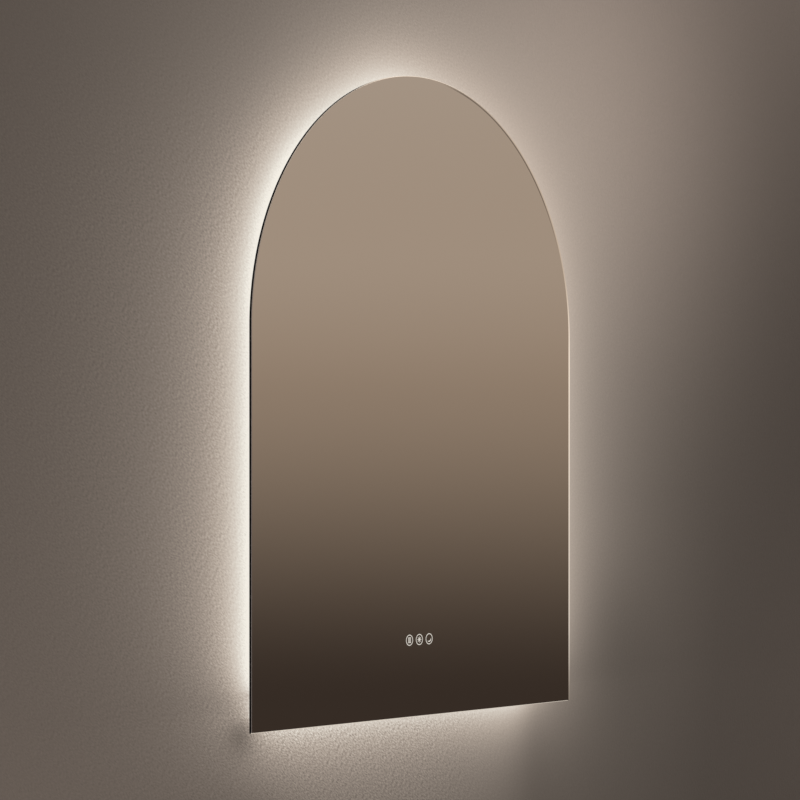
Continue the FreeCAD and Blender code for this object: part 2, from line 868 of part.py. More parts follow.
def terminal_places():
    rows = inset_range(terminal_z, terminal_height / 4)
    columns = [terminal_x[0] + (i + 0.5) * terminal_pitch for i in range(terminal_ways)]
    return [(x, z) for x in columns for z in rows]


def terminal_block():
    # One moulded strip; each way has a wire passage along Z and two screw wells.
    body = block(terminal_x, (terminal_floor, terminal_back), terminal_z)
    cuts = []
    for i in range(1, terminal_ways):
        x = terminal_x[0] + i * terminal_pitch
        cuts.append(block((x - terminal_slot / 2, x + terminal_slot / 2),
                          (terminal_back - terminal_screw_sink, terminal_back), terminal_z))
    for i in range(terminal_ways):
        x = terminal_x[0] + (i + 0.5) * terminal_pitch
        start = Vector(x, (terminal_floor + terminal_back - terminal_screw_sink) / 2, terminal_z[0])
        cuts.append(rod(terminal_wire, start, up, terminal_height))
    for x, z in terminal_places():
        start = Vector(x, terminal_back - terminal_screw_sink, z)
        cuts.append(rod(terminal_screw, start, back, terminal_screw_sink))
    return body.cut(cuts)


def terminal_screws():
    screws = []
    for x, z in terminal_places():
        start = Vector(x, terminal_back - terminal_screw_sink, z)
        screws.append(rod(terminal_screw - screw_gap, start, back, 0.75 * terminal_screw_sink))
    return Part.makeCompound(screws)


# ---- cable gland, from the box's lower wall downwards

gland_top = Vector(gland_x, -gland_depth, box_z[0])


def below(distance):
    return gland_top - up * distance


def gland_body():
    collar = gland_flange + gland_collar
    body = joined([hexagon(gland_flats, below(gland_flange), gland_flange),
                   rod(gland_thread, below(collar), up, collar + box_wall + gland_shank)])
    bore = rod(gland_bore, below(collar), up, collar + box_wall + gland_shank)
    pocket = rod(gland_pocket, below(collar), up, gland_collar)
    return body.cut([bore, pocket])


def gland_seal():
    start = below(gland_flange + seal_length)
    return rod(gland_pocket - thread_gap, start, up, seal_length).cut(turned(seal_bore, start, up, seal_length))


def gland_cap():
    # Hexagonal nut with a round nose that presses on the seal.
    top = gland_flange + clip_gap
    grip = cap_length - cap_nose
    nose = rod(gland_flats / 2 - cap_step, below(top + cap_length), up, cap_nose)
    cap = joined([hexagon(gland_flats, below(top + grip), grip), nose])
    well = rod(gland_thread + thread_gap, below(gland_flange + gland_collar + clip_gap), up,
               gland_collar + clip_gap)
    return cap.cut([rod(cap_bore, below(top + cap_length), up, cap_length), well])


def gland_locknut():
    start = gland_top + up * box_wall
    return hexagon(gland_flats, start, locknut_thickness).cut(
        rod(gland_thread + thread_gap, start, up, locknut_thickness))


# ---- earth connection to the frame

def earth_lug():
    # A flat ring and strap with the crimped barrel standing on the strap.
    seat = bottom_z + web_inner
    eye = Vector(side_lead_x - earth_offset, -earth_depth, seat)
    foot = Vector(side_lead_x, -earth_depth, seat)
    barrel_radius = earth_lead_radius + barrel_wall
    strap = block((eye.x, foot.x + barrel_radius), (eye.y - barrel_radius, eye.y + barrel_radius),
                  (seat, seat + lug_wall))
    lug = joined([rod(lug_ring, eye, up, lug_wall), strap,
                  rod(barrel_radius, foot, up, lug_wall + barrel_length)])
    wire = rod(earth_lead_radius + thread_gap, foot + up * lug_wall, up, barrel_length)
    return lug.cut([wire, rod(earth_screw_radius + screw_gap, eye, up, lug_wall)])


def earth_screw():
    seat = Vector(side_lead_x - earth_offset, -earth_depth, bottom_z + web_inner + lug_wall)
    head = rod(earth_head, seat, up, earth_head_height)
    return joined([head, rod(earth_screw_radius, seat, -up, lug_wall + frame_wall)])


# ---- touch controls behind the glass

touch_z = bottom_z + touch_height
guide_front = glass_back + electrode_thickness
guide_back = guide_front + guide_length
touch_board_back = guide_back + touch_board_thickness
housing_back = glass_back + touch_depth


def touch_rods(radius, y_start, length):
    return [rod(radius, Vector(touch_x(i), y_start, touch_z), back, length) for i in range(touch_count)]


def touch_electrodes():
    outer = touch_rods(guide_outer, glass_back, electrode_thickness)
    inner = touch_rods(guide_inner, glass_back, electrode_thickness)
    return Part.makeCompound([disc.cut(hole) for disc, hole in zip(outer, inner)])


def light_guides():
    # A tube behind each control, on a common plate.
    half = guide_outer + guide_rim
    width = touch_x(touch_count - 1) + half
    plate = cornered_block((-width, width), (guide_back - guide_plate, guide_back),
                           (touch_z - half, touch_z + half), small_corner)
    tubes = touch_rods(guide_outer, guide_front, guide_length)
    return joined([plate] + tubes).cut(touch_rods(guide_inner, guide_front, guide_length))


def board_posts():
    xs = inset_range((-touch_board_width / 2, touch_board_width / 2), 2 * post_radius)
    zs = inset_range((touch_z - touch_board_breadth / 2, touch_z + touch_board_breadth / 2), 2 * post_radius)
    return [(x, z) for x in xs for z in zs]


def touch_board():
    return cornered_block((-touch_board_width / 2, touch_board_width / 2), (guide_back, touch_board_back),
                          (touch_z - touch_board_breadth / 2, touch_z + touch_board_breadth / 2), small_corner)


def touch_lamps():
    half = lamp_side / 2
    return Part.makeCompound([block((touch_x(i) - half, touch_x(i) + half), (guide_back - lamp_height, guide_back),
                                    (touch_z - half, touch_z + half)) for i in range(touch_count)])


def touch_housing():
    xs = (-touch_width / 2, touch_width / 2)
    zs = (touch_z - touch_breadth / 2, touch_z + touch_breadth / 2)
    shell = cornered_block(xs, (glass_back, housing_back), zs, case_corner)
    rim = [e for e in shell.Edges if e.BoundBox.YMin > housing_back - 0.01]
    shell = shell.makeChamfer(0.6 * touch_wall, rim)
    inside = cornered_block(inset_range(xs, touch_wall), (glass_back, housing_back - touch_wall),
                            inset_range(zs, touch_wall), case_corner - touch_wall)
    inner_back = housing_back - touch_wall
    posts = [rod(post_radius, Vector(x, touch_board_back, z), back, inner_back - touch_board_back)
             for x, z in board_posts()]
    entry = rod(low_lead + entry_gap, Vector(xs[0], lead_y, touch_z), right, touch_wall)
    return joined([shell.cut(inside)] + posts).cut(entry)


# ---- demister

demister_x = (-demister_width / 2, demister_width / 2)
demister_z = (bottom_z + demister_height, bottom_z + demister_height + demister_length)
terminal_cap_x = (side_lead_x - terminal_cap_width / 2, side_lead_x + terminal_cap_width / 2)
terminal_cap_z = (demister_z[0] + terminal_cap_inset, demister_z[0] + terminal_cap_inset + terminal_cap_breadth)
demister_back = film_back + demister_thickness


def demister_pad():
    return cornered_block(demister_x, (film_back, demister_back), demister_z, demister_corner)


def demister_terminal():
    cap = cornered_block(terminal_cap_x, (demister_back, demister_back + terminal_cap_depth), terminal_cap_z,
                         small_corner)
    entry = rod(low_lead + entry_gap, Vector(side_lead_x, lead_y, terminal_cap_z[0]), up, lead_tail)
    return cap.cut(entry)


# ---- leads and what holds them

def tube(name, corners, radius, bend):
    # A round lead along straight runs joined by tangent arcs of one radius.
    edges = []
    start = corners[0]
    length = 0
    for before, corner, after in zip(corners, corners[1:], corners[2:]):
        inward = (before - corner).normalize()
        outward = (after - corner).normalize()
        half_turn = (math.pi - inward.getAngle(outward)) / 2
        arc_start = corner + inward * (bend * math.tan(half_turn))
        arc_end = corner + outward * (bend * math.tan(half_turn))
        middle = corner + (inward + outward).normalize() * (bend / math.cos(half_turn) - bend)
        edges.append(Part.LineSegment(start, arc_start).toShape())
        edges.append(Part.Arc(arc_start, middle, arc_end).toShape())
        length += (arc_start - start).Length + 2 * half_turn * bend
        start = arc_end
    edges.append(Part.LineSegment(start, corners[-1]).toShape())
    length += (corners[-1] - start).Length
    end_face = many_sided_face(radius, corners[0], corners[1] - corners[0], 8)
    lead = Part.Wire(edges).makePipe(end_face)
    expected = end_face.Area * length
    print(f"{name}: {length:.0f} mm long, bend {bend:.0f} mm, volume {lead.Volume / expected:.4f} of section x length")
    return lead


def grommet_sleeve():
    return low_lead + grommet_wall


def lead_grommet():
    seat = Vector(-half_width + web_inner, frame_mid, lead_hole_height())
    lip = rod(grommet_sleeve() + grommet_lip, seat, right, grommet_lip_thickness)
    sleeve = rod(grommet_sleeve(), seat, -right, frame_wall)
    bore = rod(low_lead + screw_gap, seat - right * frame_wall, right, frame_wall + grommet_lip_thickness)
    return joined([lip, sleeve]).cut(bore)


def lead_mains_driver():
    ends = [Vector(driver_x[1] - lead_tail, lead_y, driver_mid_z), Vector(box_x[0] + lead_tail, lead_y, driver_mid_z)]
    return tube("mains to supply", ends, mains_lead, 0)


def lead_leds():
    # Steps back from the supply's entry to the hole in the middle of the light channel.
    z = lead_hole_height()
    web = -half_width + frame_inset
    near = web + lights_run
    route = [Vector(driver_x[0] + lead_tail, lead_y, z), Vector(near + lights_step, lead_y, z),
             Vector(near, frame_mid, z), Vector(web + screw_gap, frame_mid, z)]
    return tube("supply to lights", route, low_lead, lights_bend)


def lead_driver_touch():
    route = [Vector(touch_lead_x, lead_y, driver_z[0] + lead_tail), Vector(touch_lead_x, lead_y, touch_z),
             Vector(-touch_width / 2 + touch_wall + lead_poke, lead_y, touch_z)]
    return tube("supply to touch controls", route, low_lead, touch_bend)


def lead_demister():
    ends = [Vector(side_lead_x, lead_y, box_z[1] - lead_tail),
            Vector(side_lead_x, lead_y, terminal_cap_z[0] + lead_tail - entry_gap)]
    return tube("wiring box to demister", ends, low_lead, 0)


def earth_lead():
    ends = [Vector(side_lead_x, -earth_depth, box_z[0] + lead_tail),
            Vector(side_lead_x, -earth_depth, bottom_z + web_inner + lug_wall)]
    return tube("earth", ends, earth_lead_radius, 0)


def clip_on(x, y, z, radius, along_x):
    # A stick-on saddle with a slit for pressing the lead in.
    bore = radius + screw_gap
    back_face = y + bore + clip_wall
    half_long = clip_length / 2
    half_wide = bore + clip_wall
    half_base = clip_width / 2
    foot = block((-half_long, half_long), (film_back, film_back + clip_wall), (-half_base, half_base))
    saddle = block((-half_long, half_long), (film_back, back_face), (-half_wide, half_wide))
    clip = joined([foot, saddle])
    slit = block((-half_long, half_long), (y, back_face), (-clip_slit / 2, clip_slit / 2))
    clip = clip.cut([rod(bore, Vector(-half_long, y, 0), right, clip_length), slit])
    if not along_x:
        clip.rotate(Vector(0, 0, 0), back, 90)
    clip.translate(Vector(x, 0, z))
    return clip


def lead_clips():
    gap_middle = (driver_x[1] + box_x[0]) / 2
    beside = driver_x[0] - clip_width
    low_run = (touch_lead_x + touch_bend - touch_width / 2) / 2
    upright_z = (box_z[1] + terminal_cap_z[0]) / 2
    earth_middle = (box_z[0] + bottom_z + web_inner) / 2
    clips = [clip_on(gap_middle, lead_y, driver_mid_z, mains_lead, True),
             clip_on(beside, lead_y, lead_hole_height(), low_lead, True),
             clip_on(low_run, lead_y, touch_z, low_lead, True),
             clip_on(side_lead_x, lead_y, upright_z, low_lead, False),
             clip_on(side_lead_x, -earth_depth, earth_middle, earth_lead_radius, False)]
    return Part.makeCompound(clips)


def fixing_pads():
    pads = []
    for xs, zs in ((driver_x, driver_z), (box_x, box_z)):
        for x in inset_range(xs, pad_inset + pad_width / 2):
            pads.append(block((x - pad_width / 2, x + pad_width / 2), (film_back, pad_back),
                              inset_range(zs, pad_margin)))
    return Part.makeCompound(pads)


nodes = {
    "mirror_glass": mirror_glass,
    "backing_film": backing_film,
    "bonding_tape_arch": bonding_tape_arch,
    "bonding_tape_bottom": bonding_tape_bottom,
    "frame_arch": frame_arch,
    "frame_bottom": frame_bottom,
    "corner_bracket_right": corner_bracket_right,
    "corner_bracket_left": lambda: mirrored(corner_bracket_right()),
    "corner_screws": corner_screws,
    "diffuser_arch": diffuser_arch,
    "diffuser_bottom": diffuser_bottom,
    "diffuser_end_caps": diffuser_end_caps,
    "led_strip_arch": led_strip_arch,
    "led_strip_bottom": led_strip_bottom,
    "led_chips_arch": led_chips_arch,
    "led_chips_bottom": led_chips_bottom,
    "strip_jumper": strip_jumper,
    "wall_rail": wall_rail,
    "hanger_bar": hanger_bar,
    "hanger_rivets": hanger_rivets,
    "wall_bumpers": wall_bumpers,
    "driver_base": driver_base,
    "driver_cover": driver_cover,
    "driver_board": driver_board,
    "driver_screws": driver_screws,
    "wiring_box_base": wiring_box_base,
    "wiring_box_lid": wiring_box_lid,
    "lid_hinge_pin": lid_hinge_pin,
    "terminal_block": terminal_block,
    "terminal_screws": terminal_screws,
    "gland_body": gland_body,
    "gland_seal": gland_seal,
    "gland_cap": gland_cap,
    "gland_locknut": gland_locknut,
    "earth_lug": earth_lug,
    "earth_screw": earth_screw,
    "earth_lead": earth_lead,
    "touch_housing": touch_housing,
    "touch_board": touch_board,
    "touch_lamps": touch_lamps,
    "touch_electrodes": touch_electrodes,
    "light_guides": light_guides,
    "demister_pad": demister_pad,
    "demister_terminal": demister_terminal,
    "lead_mains_driver": lead_mains_driver,
    "lead_leds": lead_leds,
    "lead_driver_touch": lead_driver_touch,
    "lead_demister": lead_demister,
    "lead_grommet": lead_grommet,
    "lead_clips": lead_clips,
    "fixing_pads": fixing_pads,
}

os.makedirs("parts", exist_ok=True)
for name, make in nodes.items():
    shape = make()
    if not shape.isValid() or shape.Volume <= 0:
        print(f"{name} is not a valid solid")
    shape.exportStep(f"parts/{name}.step")
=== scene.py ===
import math
import bmesh
import bpy
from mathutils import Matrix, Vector


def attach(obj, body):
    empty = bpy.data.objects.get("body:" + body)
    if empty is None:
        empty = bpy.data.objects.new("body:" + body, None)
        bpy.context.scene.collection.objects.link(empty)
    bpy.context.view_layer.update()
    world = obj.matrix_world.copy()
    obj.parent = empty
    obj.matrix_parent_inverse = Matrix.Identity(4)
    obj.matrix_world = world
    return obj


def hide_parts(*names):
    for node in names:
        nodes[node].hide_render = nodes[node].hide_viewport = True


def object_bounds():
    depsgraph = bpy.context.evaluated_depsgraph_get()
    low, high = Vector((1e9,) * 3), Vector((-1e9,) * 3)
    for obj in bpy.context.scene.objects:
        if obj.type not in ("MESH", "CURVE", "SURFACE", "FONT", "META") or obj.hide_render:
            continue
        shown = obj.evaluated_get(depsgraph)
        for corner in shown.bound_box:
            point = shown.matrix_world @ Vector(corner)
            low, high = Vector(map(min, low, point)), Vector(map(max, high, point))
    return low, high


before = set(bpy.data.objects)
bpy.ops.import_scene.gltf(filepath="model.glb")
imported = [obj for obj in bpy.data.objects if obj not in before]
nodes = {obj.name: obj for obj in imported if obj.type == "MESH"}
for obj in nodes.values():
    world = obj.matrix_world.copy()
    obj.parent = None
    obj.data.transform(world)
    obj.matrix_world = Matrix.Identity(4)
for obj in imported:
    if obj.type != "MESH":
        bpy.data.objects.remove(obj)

cadBox = [list(corner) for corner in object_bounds()]
print("frame loaded, nodes:", len(nodes))


# Node trees

class Value:
    # A socket that takes part in ordinary sums.
    def __init__(self, board, socket):
        self.board = board
        self.socket = socket

    def __add__(self, other):
        return self.board.maths("ADD", self, other)

    def __radd__(self, other):
        return self.board.maths("ADD", other, self)

    def __sub__(self, other):
        return self.board.maths("SUBTRACT", self, other)

    def __rsub__(self, other):
        return self.board.maths("SUBTRACT", other, self)

    def __mul__(self, other):
        return self.board.maths("MULTIPLY", self, other)

    def __rmul__(self, other):
        return self.board.maths("MULTIPLY", other, self)

    def __truediv__(self, other):
        return self.board.maths("DIVIDE", self, other)

    def __rtruediv__(self, other):
        return self.board.maths("DIVIDE", other, self)

    def __neg__(self):
        return self.board.maths("MULTIPLY", self, -1.0)

    def __abs__(self):
        return self.board.maths("ABSOLUTE", self)

    def __gt__(self, other):
        return self.board.maths("GREATER_THAN", self, other)

    def __lt__(self, other):
        return self.board.maths("LESS_THAN", self, other)


class Board:
    # What shader trees and geometry trees have in common.
    def __init__(self, tree):
        self.tree = tree

    def node(self, kind, settings=None, values=None):
        made = self.tree.nodes.new(kind)
        for name, value in (settings or {}).items():
            if name == "stops":
                setStops(made.color_ramp, value)
            else:
                setattr(made, name, value)
        for name, value in (values or {}).items():
            self.plug(made.inputs[name], value)
        return made

    def plug(self, socket, value):
        if isinstance(value, Value):
            self.tree.links.new(value.socket, socket)
        else:
            socket.default_value = value

    def out(self, made, name=0):
        return Value(self, made.outputs[name])

    def maths(self, operation, *values):
        return self.out(self.node("ShaderNodeMath", {"operation": operation}, dict(enumerate(values))))

    def smallest(self, a, b):
        return self.maths("MINIMUM", a, b)

    def largest(self, a, b):
        return self.maths("MAXIMUM", a, b)

    def limited(self, value, low, high):
        return self.largest(self.smallest(value, high), low)

    def length(self, a, b):
        return self.maths("SQRT", a * a + b * b)

    def fall(self, distance, reach):
        # 1 at no distance, fading by e over each reach
        return self.maths("EXPONENT", distance * (-1.0 / reach))

    def between(self, value, low, high):
        # 0 below low, 1 above high
        return self.out(self.node("ShaderNodeMapRange", {"interpolation_type": "SMOOTHSTEP"},
                                  {0: value, 1: low, 2: high}))

    def mix(self, share, low, high):
        return self.out(self.node("ShaderNodeMix", {"data_type": "RGBA"}, {0: share, 6: low, 7: high}), 2)

    def vector(self, x=0.0, y=0.0, z=0.0):
        return self.out(self.node("ShaderNodeCombineXYZ", None, {0: x, 1: y, 2: z}))

    def apart(self, vector, axes="XYZ"):
        made = self.node("ShaderNodeSeparateXYZ", None, {0: vector})
        return [self.out(made, axis) for axis in axes]


def setStops(ramp, stops):
    while len(ramp.elements) > 1:
        ramp.elements.remove(ramp.elements[-1])
    for i, (position, colour) in enumerate(stops):
        element = ramp.elements[0] if i == 0 else ramp.elements.new(position)
        element.position = position
        element.color = colour


def linear(red, green, blue):
    # a screen colour, 0 to 255, as the shader's linear colour
    parts = []
    for part in (red, green, blue):
        part = part / 255
        parts.append(part / 12.92 if part <= 0.04045 else ((part + 0.055) / 1.055) ** 2.4)
    return (*parts, 1.0)


def shade(colour, factor):
    return (*[min(1.0, part * factor) for part in colour[:3]], 1.0)


class Finish(Board):
    # A material, built round one Principled shader.
    labels = {"baseColor": "Base Color", "roughness": "Roughness", "metallic": "Metallic",
              "specular": "Specular IOR Level", "normal": "Normal", "emission": "Emission Color",
              "emissionStrength": "Emission Strength"}

    def __init__(self, name, **constants):
        self.material = bpy.data.materials.new(name)
        self.material.use_nodes = True
        super().__init__(self.material.node_tree)
        self.shader = self.tree.nodes["Principled BSDF"]
        for socket, value in constants.items():
            self.feed(socket, value)

    def feed(self, socket, value):
        self.plug(self.shader.inputs[self.labels[socket]], value)

    def place(self):
        return self.out(self.node("ShaderNodeTexCoord"), "Object")

    def axes(self, names="XYZ"):
        return self.apart(self.place(), names)

    def stretched(self, x, y, z):
        return self.out(self.node("ShaderNodeMapping", None, {"Vector": self.place(), "Scale": (x, y, z)}))

    def noise(self, scale, detail=2.0, roughness=0.5, stretch=None, place=None):
        vector = self.stretched(*stretch) if stretch else place or self.place()
        return self.out(self.node("ShaderNodeTexNoise", None, {
            "Vector": vector, "Scale": scale, "Detail": detail, "Roughness": roughness}), "Fac")

    def cells(self, scale, feature="F1", output="Distance"):
        return self.out(self.node("ShaderNodeTexVoronoi", {"feature": feature},
                                  {"Vector": self.place(), "Scale": scale}), output)

    def bump(self, height, depth, strength=1.0):
        made = self.node("ShaderNodeBump", None, {"Height": height, "Distance": depth, "Strength": strength})
        self.feed("normal", self.out(made))

    def patterned(self, pattern, low, high, roughness, spread, relief=None):
        # The colour, the roughness and any relief follow one pattern.
        self.feed("baseColor", self.mix(pattern, low, high))
        self.feed("roughness", roughness + pattern * spread)
        if relief:
            self.bump(pattern, *relief)
        return self


# Making and placing pieces

def inScene(name, data):
    made = bpy.data.objects.new(name, data)
    bpy.context.scene.collection.objects.link(made)
    return made


def plainMesh(piece):
    # The piece's mesh with its modifiers worked in.
    return bpy.data.meshes.new_from_object(piece.evaluated_get(bpy.context.evaluated_depsgraph_get()))


def welded(mesh, distance=2e-6):
    # The mesh, ready to edit, with points closer than the distance joined.
    form = bmesh.new()
    form.from_mesh(mesh)
    bmesh.ops.remove_doubles(form, verts=form.verts, dist=distance)
    return form


def painted(mesh, finish):
    mesh.materials.clear()
    mesh.materials.append(finish.material)
    mesh.polygons.foreach_set("material_index", [0] * len(mesh.polygons))


def smoothed(piece, angle=35.0):
    # Smooth faces, with the edges sharper than the angle kept crisp.
    form = bmesh.new()
    form.from_mesh(piece.data)
    limit = math.radians(angle)
    for face in form.faces:
        face.smooth = True
    for edge in form.edges:
        edge.smooth = len(edge.link_faces) == 2 and edge.calc_face_angle(0.0) < limit
    form.to_mesh(piece.data)
    form.free()
    return piece


def meshPiece(name, form, *looks):
    mesh = bpy.data.meshes.new(name)
    form.to_mesh(mesh)
    form.free()
    for look in looks:
        mesh.materials.append(look.material)
    return inScene(name, mesh)


def settle(piece, body, slot, *replaced):
    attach(piece, body)
    if replaced:
        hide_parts(*replaced)
    return piece


def dress(finish, *names):
    # Gives a CAD node its finish.
    for name in names:
        slots = nodes[name].data.materials
        slots.clear()
        slots.append(finish.material)


easing = {"flat": 0.5, "corner": 30.0, "steps": 2, "crisp": 40.0}       # degrees, and steps round an edge


def softened(node, name, body, slot, finish, width):
    # A copy of a CAD node with its edges eased, which then stands for the node.
    form = welded(nodes[node].data)
    flat = math.radians(easing["flat"])
    bmesh.ops.dissolve_limit(form, angle_limit=flat, verts=form.verts, edges=form.edges)
    piece = meshPiece(name, form)
    painted(piece.data, finish)
    ease = piece.modifiers.new("ease", "BEVEL")
    ease.width = width
    ease.segments = easing["steps"]
    ease.limit_method = "ANGLE"
    ease.angle_limit = math.radians(easing["corner"])
    ease.use_clamp_overlap = True
    plain = plainMesh(piece)
    piece.modifiers.remove(ease)
    piece.data = plain
    return settle(smoothed(piece, easing["crisp"]), body, slot, node)


class Grower(Board):
    # A Geometry Nodes tree with named inputs.
    kinds = {int: "NodeSocketInt", float: "NodeSocketFloat", tuple: "NodeSocketVector"}

    def __init__(self, name, sizes):
        super().__init__(bpy.data.node_groups.new(name, "GeometryNodeTree"))
        face = self.tree.interface
        face.new_socket("Geometry", in_out="INPUT", socket_type="NodeSocketGeometry")
        for label, value in sizes.items():
            socket = face.new_socket(label, in_out="INPUT", socket_type=self.kinds[type(value)])
            socket.default_value = value
        face.new_socket("Geometry", in_out="OUTPUT", socket_type="NodeSocketGeometry")
        self.start = self.node("NodeGroupInput")
        self.sizes = sizes

    def given(self, *labels):
        # The tree's own geometry, or the named inputs.
        found = [self.out(self.start, label) for label in labels or ("Geometry",)]
        return found if len(found) > 1 else found[0]

    def attribute(self, kind, name):
        return self.out(self.node("GeometryNodeInputNamedAttribute", {"data_type": kind}, {"Name": name}),
                        "Attribute")

    def moved(self, geometry, place=(0.0, 0.0, 0.0), turn=(0.0, 0.0, 0.0), scale=(1.0, 1.0, 1.0)):
        return self.out(self.node("GeometryNodeTransform", None, {
            "Geometry": geometry, "Translation": place, "Rotation": turn, "Scale": scale}))

    def together(self, *parts):
        made = self.node("GeometryNodeJoinGeometry")
        for part in parts:
            self.tree.links.new(part.socket, made.inputs[0])
        return self.out(made)

    def placed(self, points, piece, turn=(0.0, 0.0, 0.0)):
        return self.out(self.node("GeometryNodeInstanceOnPoints", None, {
            "Points": points, "Instance": piece, "Rotation": turn}))

    def row(self, count, start, pitch):
        return self.out(self.node("GeometryNodeMeshLine", None, {
            "Count": count, "Start Location": start, "Offset": self.vector(pitch)}))

    def ring(self, count, radius):
        return self.out(self.node("GeometryNodeMeshCircle", None, {"Vertices": count, "Radius": radius}))

    def block(self, size):
        return self.out(self.node("GeometryNodeMeshCube", None, {"Size": size}), "Mesh")

    def rod(self, sides, radius, depth):
        return self.out(self.node("GeometryNodeMeshCylinder", None, {
            "Vertices": sides, "Radius": radius, "Depth": depth}), "Mesh")

    def less(self, whole, tool):
        return self.out(self.node("GeometryNodeMeshBoolean", {"operation": "DIFFERENCE", "solver": "EXACT"},
                                  {"Mesh 1": whole, "Mesh 2": tool}), "Mesh")

    def curve(self, mesh):
        return self.out(self.node("GeometryNodeMeshToCurve", None, {"Mesh": mesh}))

    def grow(self, name, geometry, finish, start=None):
        # Ends the tree, runs it on an object and returns its result as a plain mesh object.
        solid = self.out(self.node("GeometryNodeRealizeInstances", None, {0: geometry}))
        dressed = self.node("GeometryNodeSetMaterial", None, {"Geometry": solid, "Material": finish.material})
        end = self.node("NodeGroupOutput")
        self.tree.links.new(dressed.outputs[0], end.inputs[0])
        carrier = inScene(name + "Carrier", start or bpy.data.meshes.new(name + "Start"))
        modifier = carrier.modifiers.new("grow", "NODES")
        modifier.node_group = self.tree
        for item in self.tree.interface.items_tree:
            if item.in_out == "INPUT" and item.name in self.sizes:
                modifier[item.identifier] = self.sizes[item.name]
        made = inScene(name, plainMesh(carrier))
        made.data.name = name
        painted(made.data, finish)
        carrier.modifiers.remove(modifier)
        bpy.data.objects.remove(carrier)
        return made


# Finishes

def backPaintFinish():
    finish = Finish("backingPaint", specular=0.35)
    finish.bump(finish.noise(420.0, 3.0), 0.0001, 0.3)
    cloud = finish.noise(9.0, 4.0, 0.6)
    return finish.patterned(cloud, linear(118, 126, 132), linear(134, 141, 146), 0.5, 0.12)


def aluminiumFinish():
    # satin, drawn along its length
    finish = Finish("satinAluminium", metallic=1.0)
    grain = finish.noise(260.0, 3.0, 0.6, stretch=(0.12, 1.0, 0.12))
    return finish.patterned(grain, (0.60, 0.605, 0.61, 1.0), (0.74, 0.745, 0.75, 1.0), 0.32, 0.14,
                            (0.00002, 0.4))


def zincFinish(name, tone=0.62):
    finish = Finish(name, metallic=1.0)
    flakes = finish.out(finish.node("ShaderNodeRGBToBW", None, {0: finish.cells(120.0, output="Color")}))
    streak = finish.noise(300.0, 2.0, stretch=(0.1, 1.0, 1.0))
    low, high = tone * 0.86, tone * 1.08
    finish.feed("baseColor", finish.mix(flakes, (low, low, low * 1.01, 1.0), (high, high, high * 1.02, 1.0)))
    finish.feed("roughness", 0.24 + flakes * 0.1 + streak * 0.12)
    finish.bump(streak, 0.00001, 0.3)
    return finish


def mouldedFinish(name, colour, gloss=0.42, grain=1.0):
    # injection moulded plastic with a fine spark-eroded grain
    finish = Finish(name, specular=0.45)
    spark = finish.noise(1600.0, 2.0)
    finish.feed("baseColor", finish.mix(finish.noise(28.0, 3.0), shade(colour, 0.95), shade(colour, 1.03)))
    finish.feed("roughness", gloss + spark * 0.14)
    finish.bump(spark, 0.00003 * grain, 0.5)
    return finish


def rubberFinish():
    finish = Finish("blackRubber", specular=0.35)
    dust = finish.noise(240.0, 4.0, 0.7)
    return finish.patterned(dust, linear(26, 26, 26), linear(44, 43, 42), 0.62, 0.2, (0.0001, 0.4))


def opalFinish():
    # lit from inside
    finish = Finish("opalDiffuser", specular=0.4, emissionStrength=1.0)
    haze = finish.noise(34.0, 2.0)
    finish.feed("emission", finish.mix(haze, (0.43, 0.395, 0.33, 1.0), (0.49, 0.455, 0.385, 1.0)))
    return finish.patterned(haze, (0.26, 0.256, 0.246, 1.0), (0.32, 0.316, 0.304, 1.0), 0.4, 0.1)


def boardFinish():
    finish = Finish("greenSolderMask", specular=0.5)
    tracks = finish.cells(260.0, "DISTANCE_TO_EDGE") < 0.12
    return finish.patterned(tracks, linear(24, 92, 54), linear(56, 132, 78), 0.3, 0.08, (0.00004, 0.6))


def foamFinish():
    finish = Finish("foamTape", specular=0.2)
    pores = finish.cells(1400.0)
    return finish.patterned(pores, linear(222, 221, 216), linear(240, 239, 235), 0.8, 0.1, (0.0001, 0.4))


def sheathFinish():
    finish = Finish("whiteSheath", specular=0.45)
    drawn = finish.noise(500.0, 2.0, stretch=(0.2, 1.0, 1.0))
    white = linear(226, 225, 221)
    return finish.patterned(drawn, shade(white, 0.94), shade(white, 1.04), 0.4, 0.12, (0.00003, 0.3))


def copperFinish(name, colour):
    finish = Finish(name, metallic=1.0)
    return finish.patterned(finish.noise(160.0, 3.0), shade(colour, 0.86), shade(colour, 1.08), 0.22, 0.16)


def lampFinish():
    finish = Finish("phosphorLamp", emissionStrength=0.6)
    dots = finish.noise(2600.0)
    finish.feed("emission", finish.mix(dots, (0.90, 0.72, 0.40, 1.0), (0.98, 0.84, 0.55, 1.0)))
    return finish.patterned(dots, linear(236, 196, 84), linear(246, 214, 110), 0.35, 0.1)


def stripFinish():
    finish = Finish("whiteStrip", specular=0.45)
    tracks = finish.noise(180.0, 1.0, stretch=(1.0, 6.0, 1.0)) > 0.62
    return finish.patterned(tracks, linear(238, 238, 235), linear(226, 214, 190), 0.36, 0.08)


def heaterFinish():
    finish = Finish("heaterFilm", specular=0.4)
    cloud = finish.noise(30.0, 3.0)
    return finish.patterned(cloud, linear(58, 58, 60), linear(72, 72, 74), 0.3, 0.1, (0.0001, 0.3))


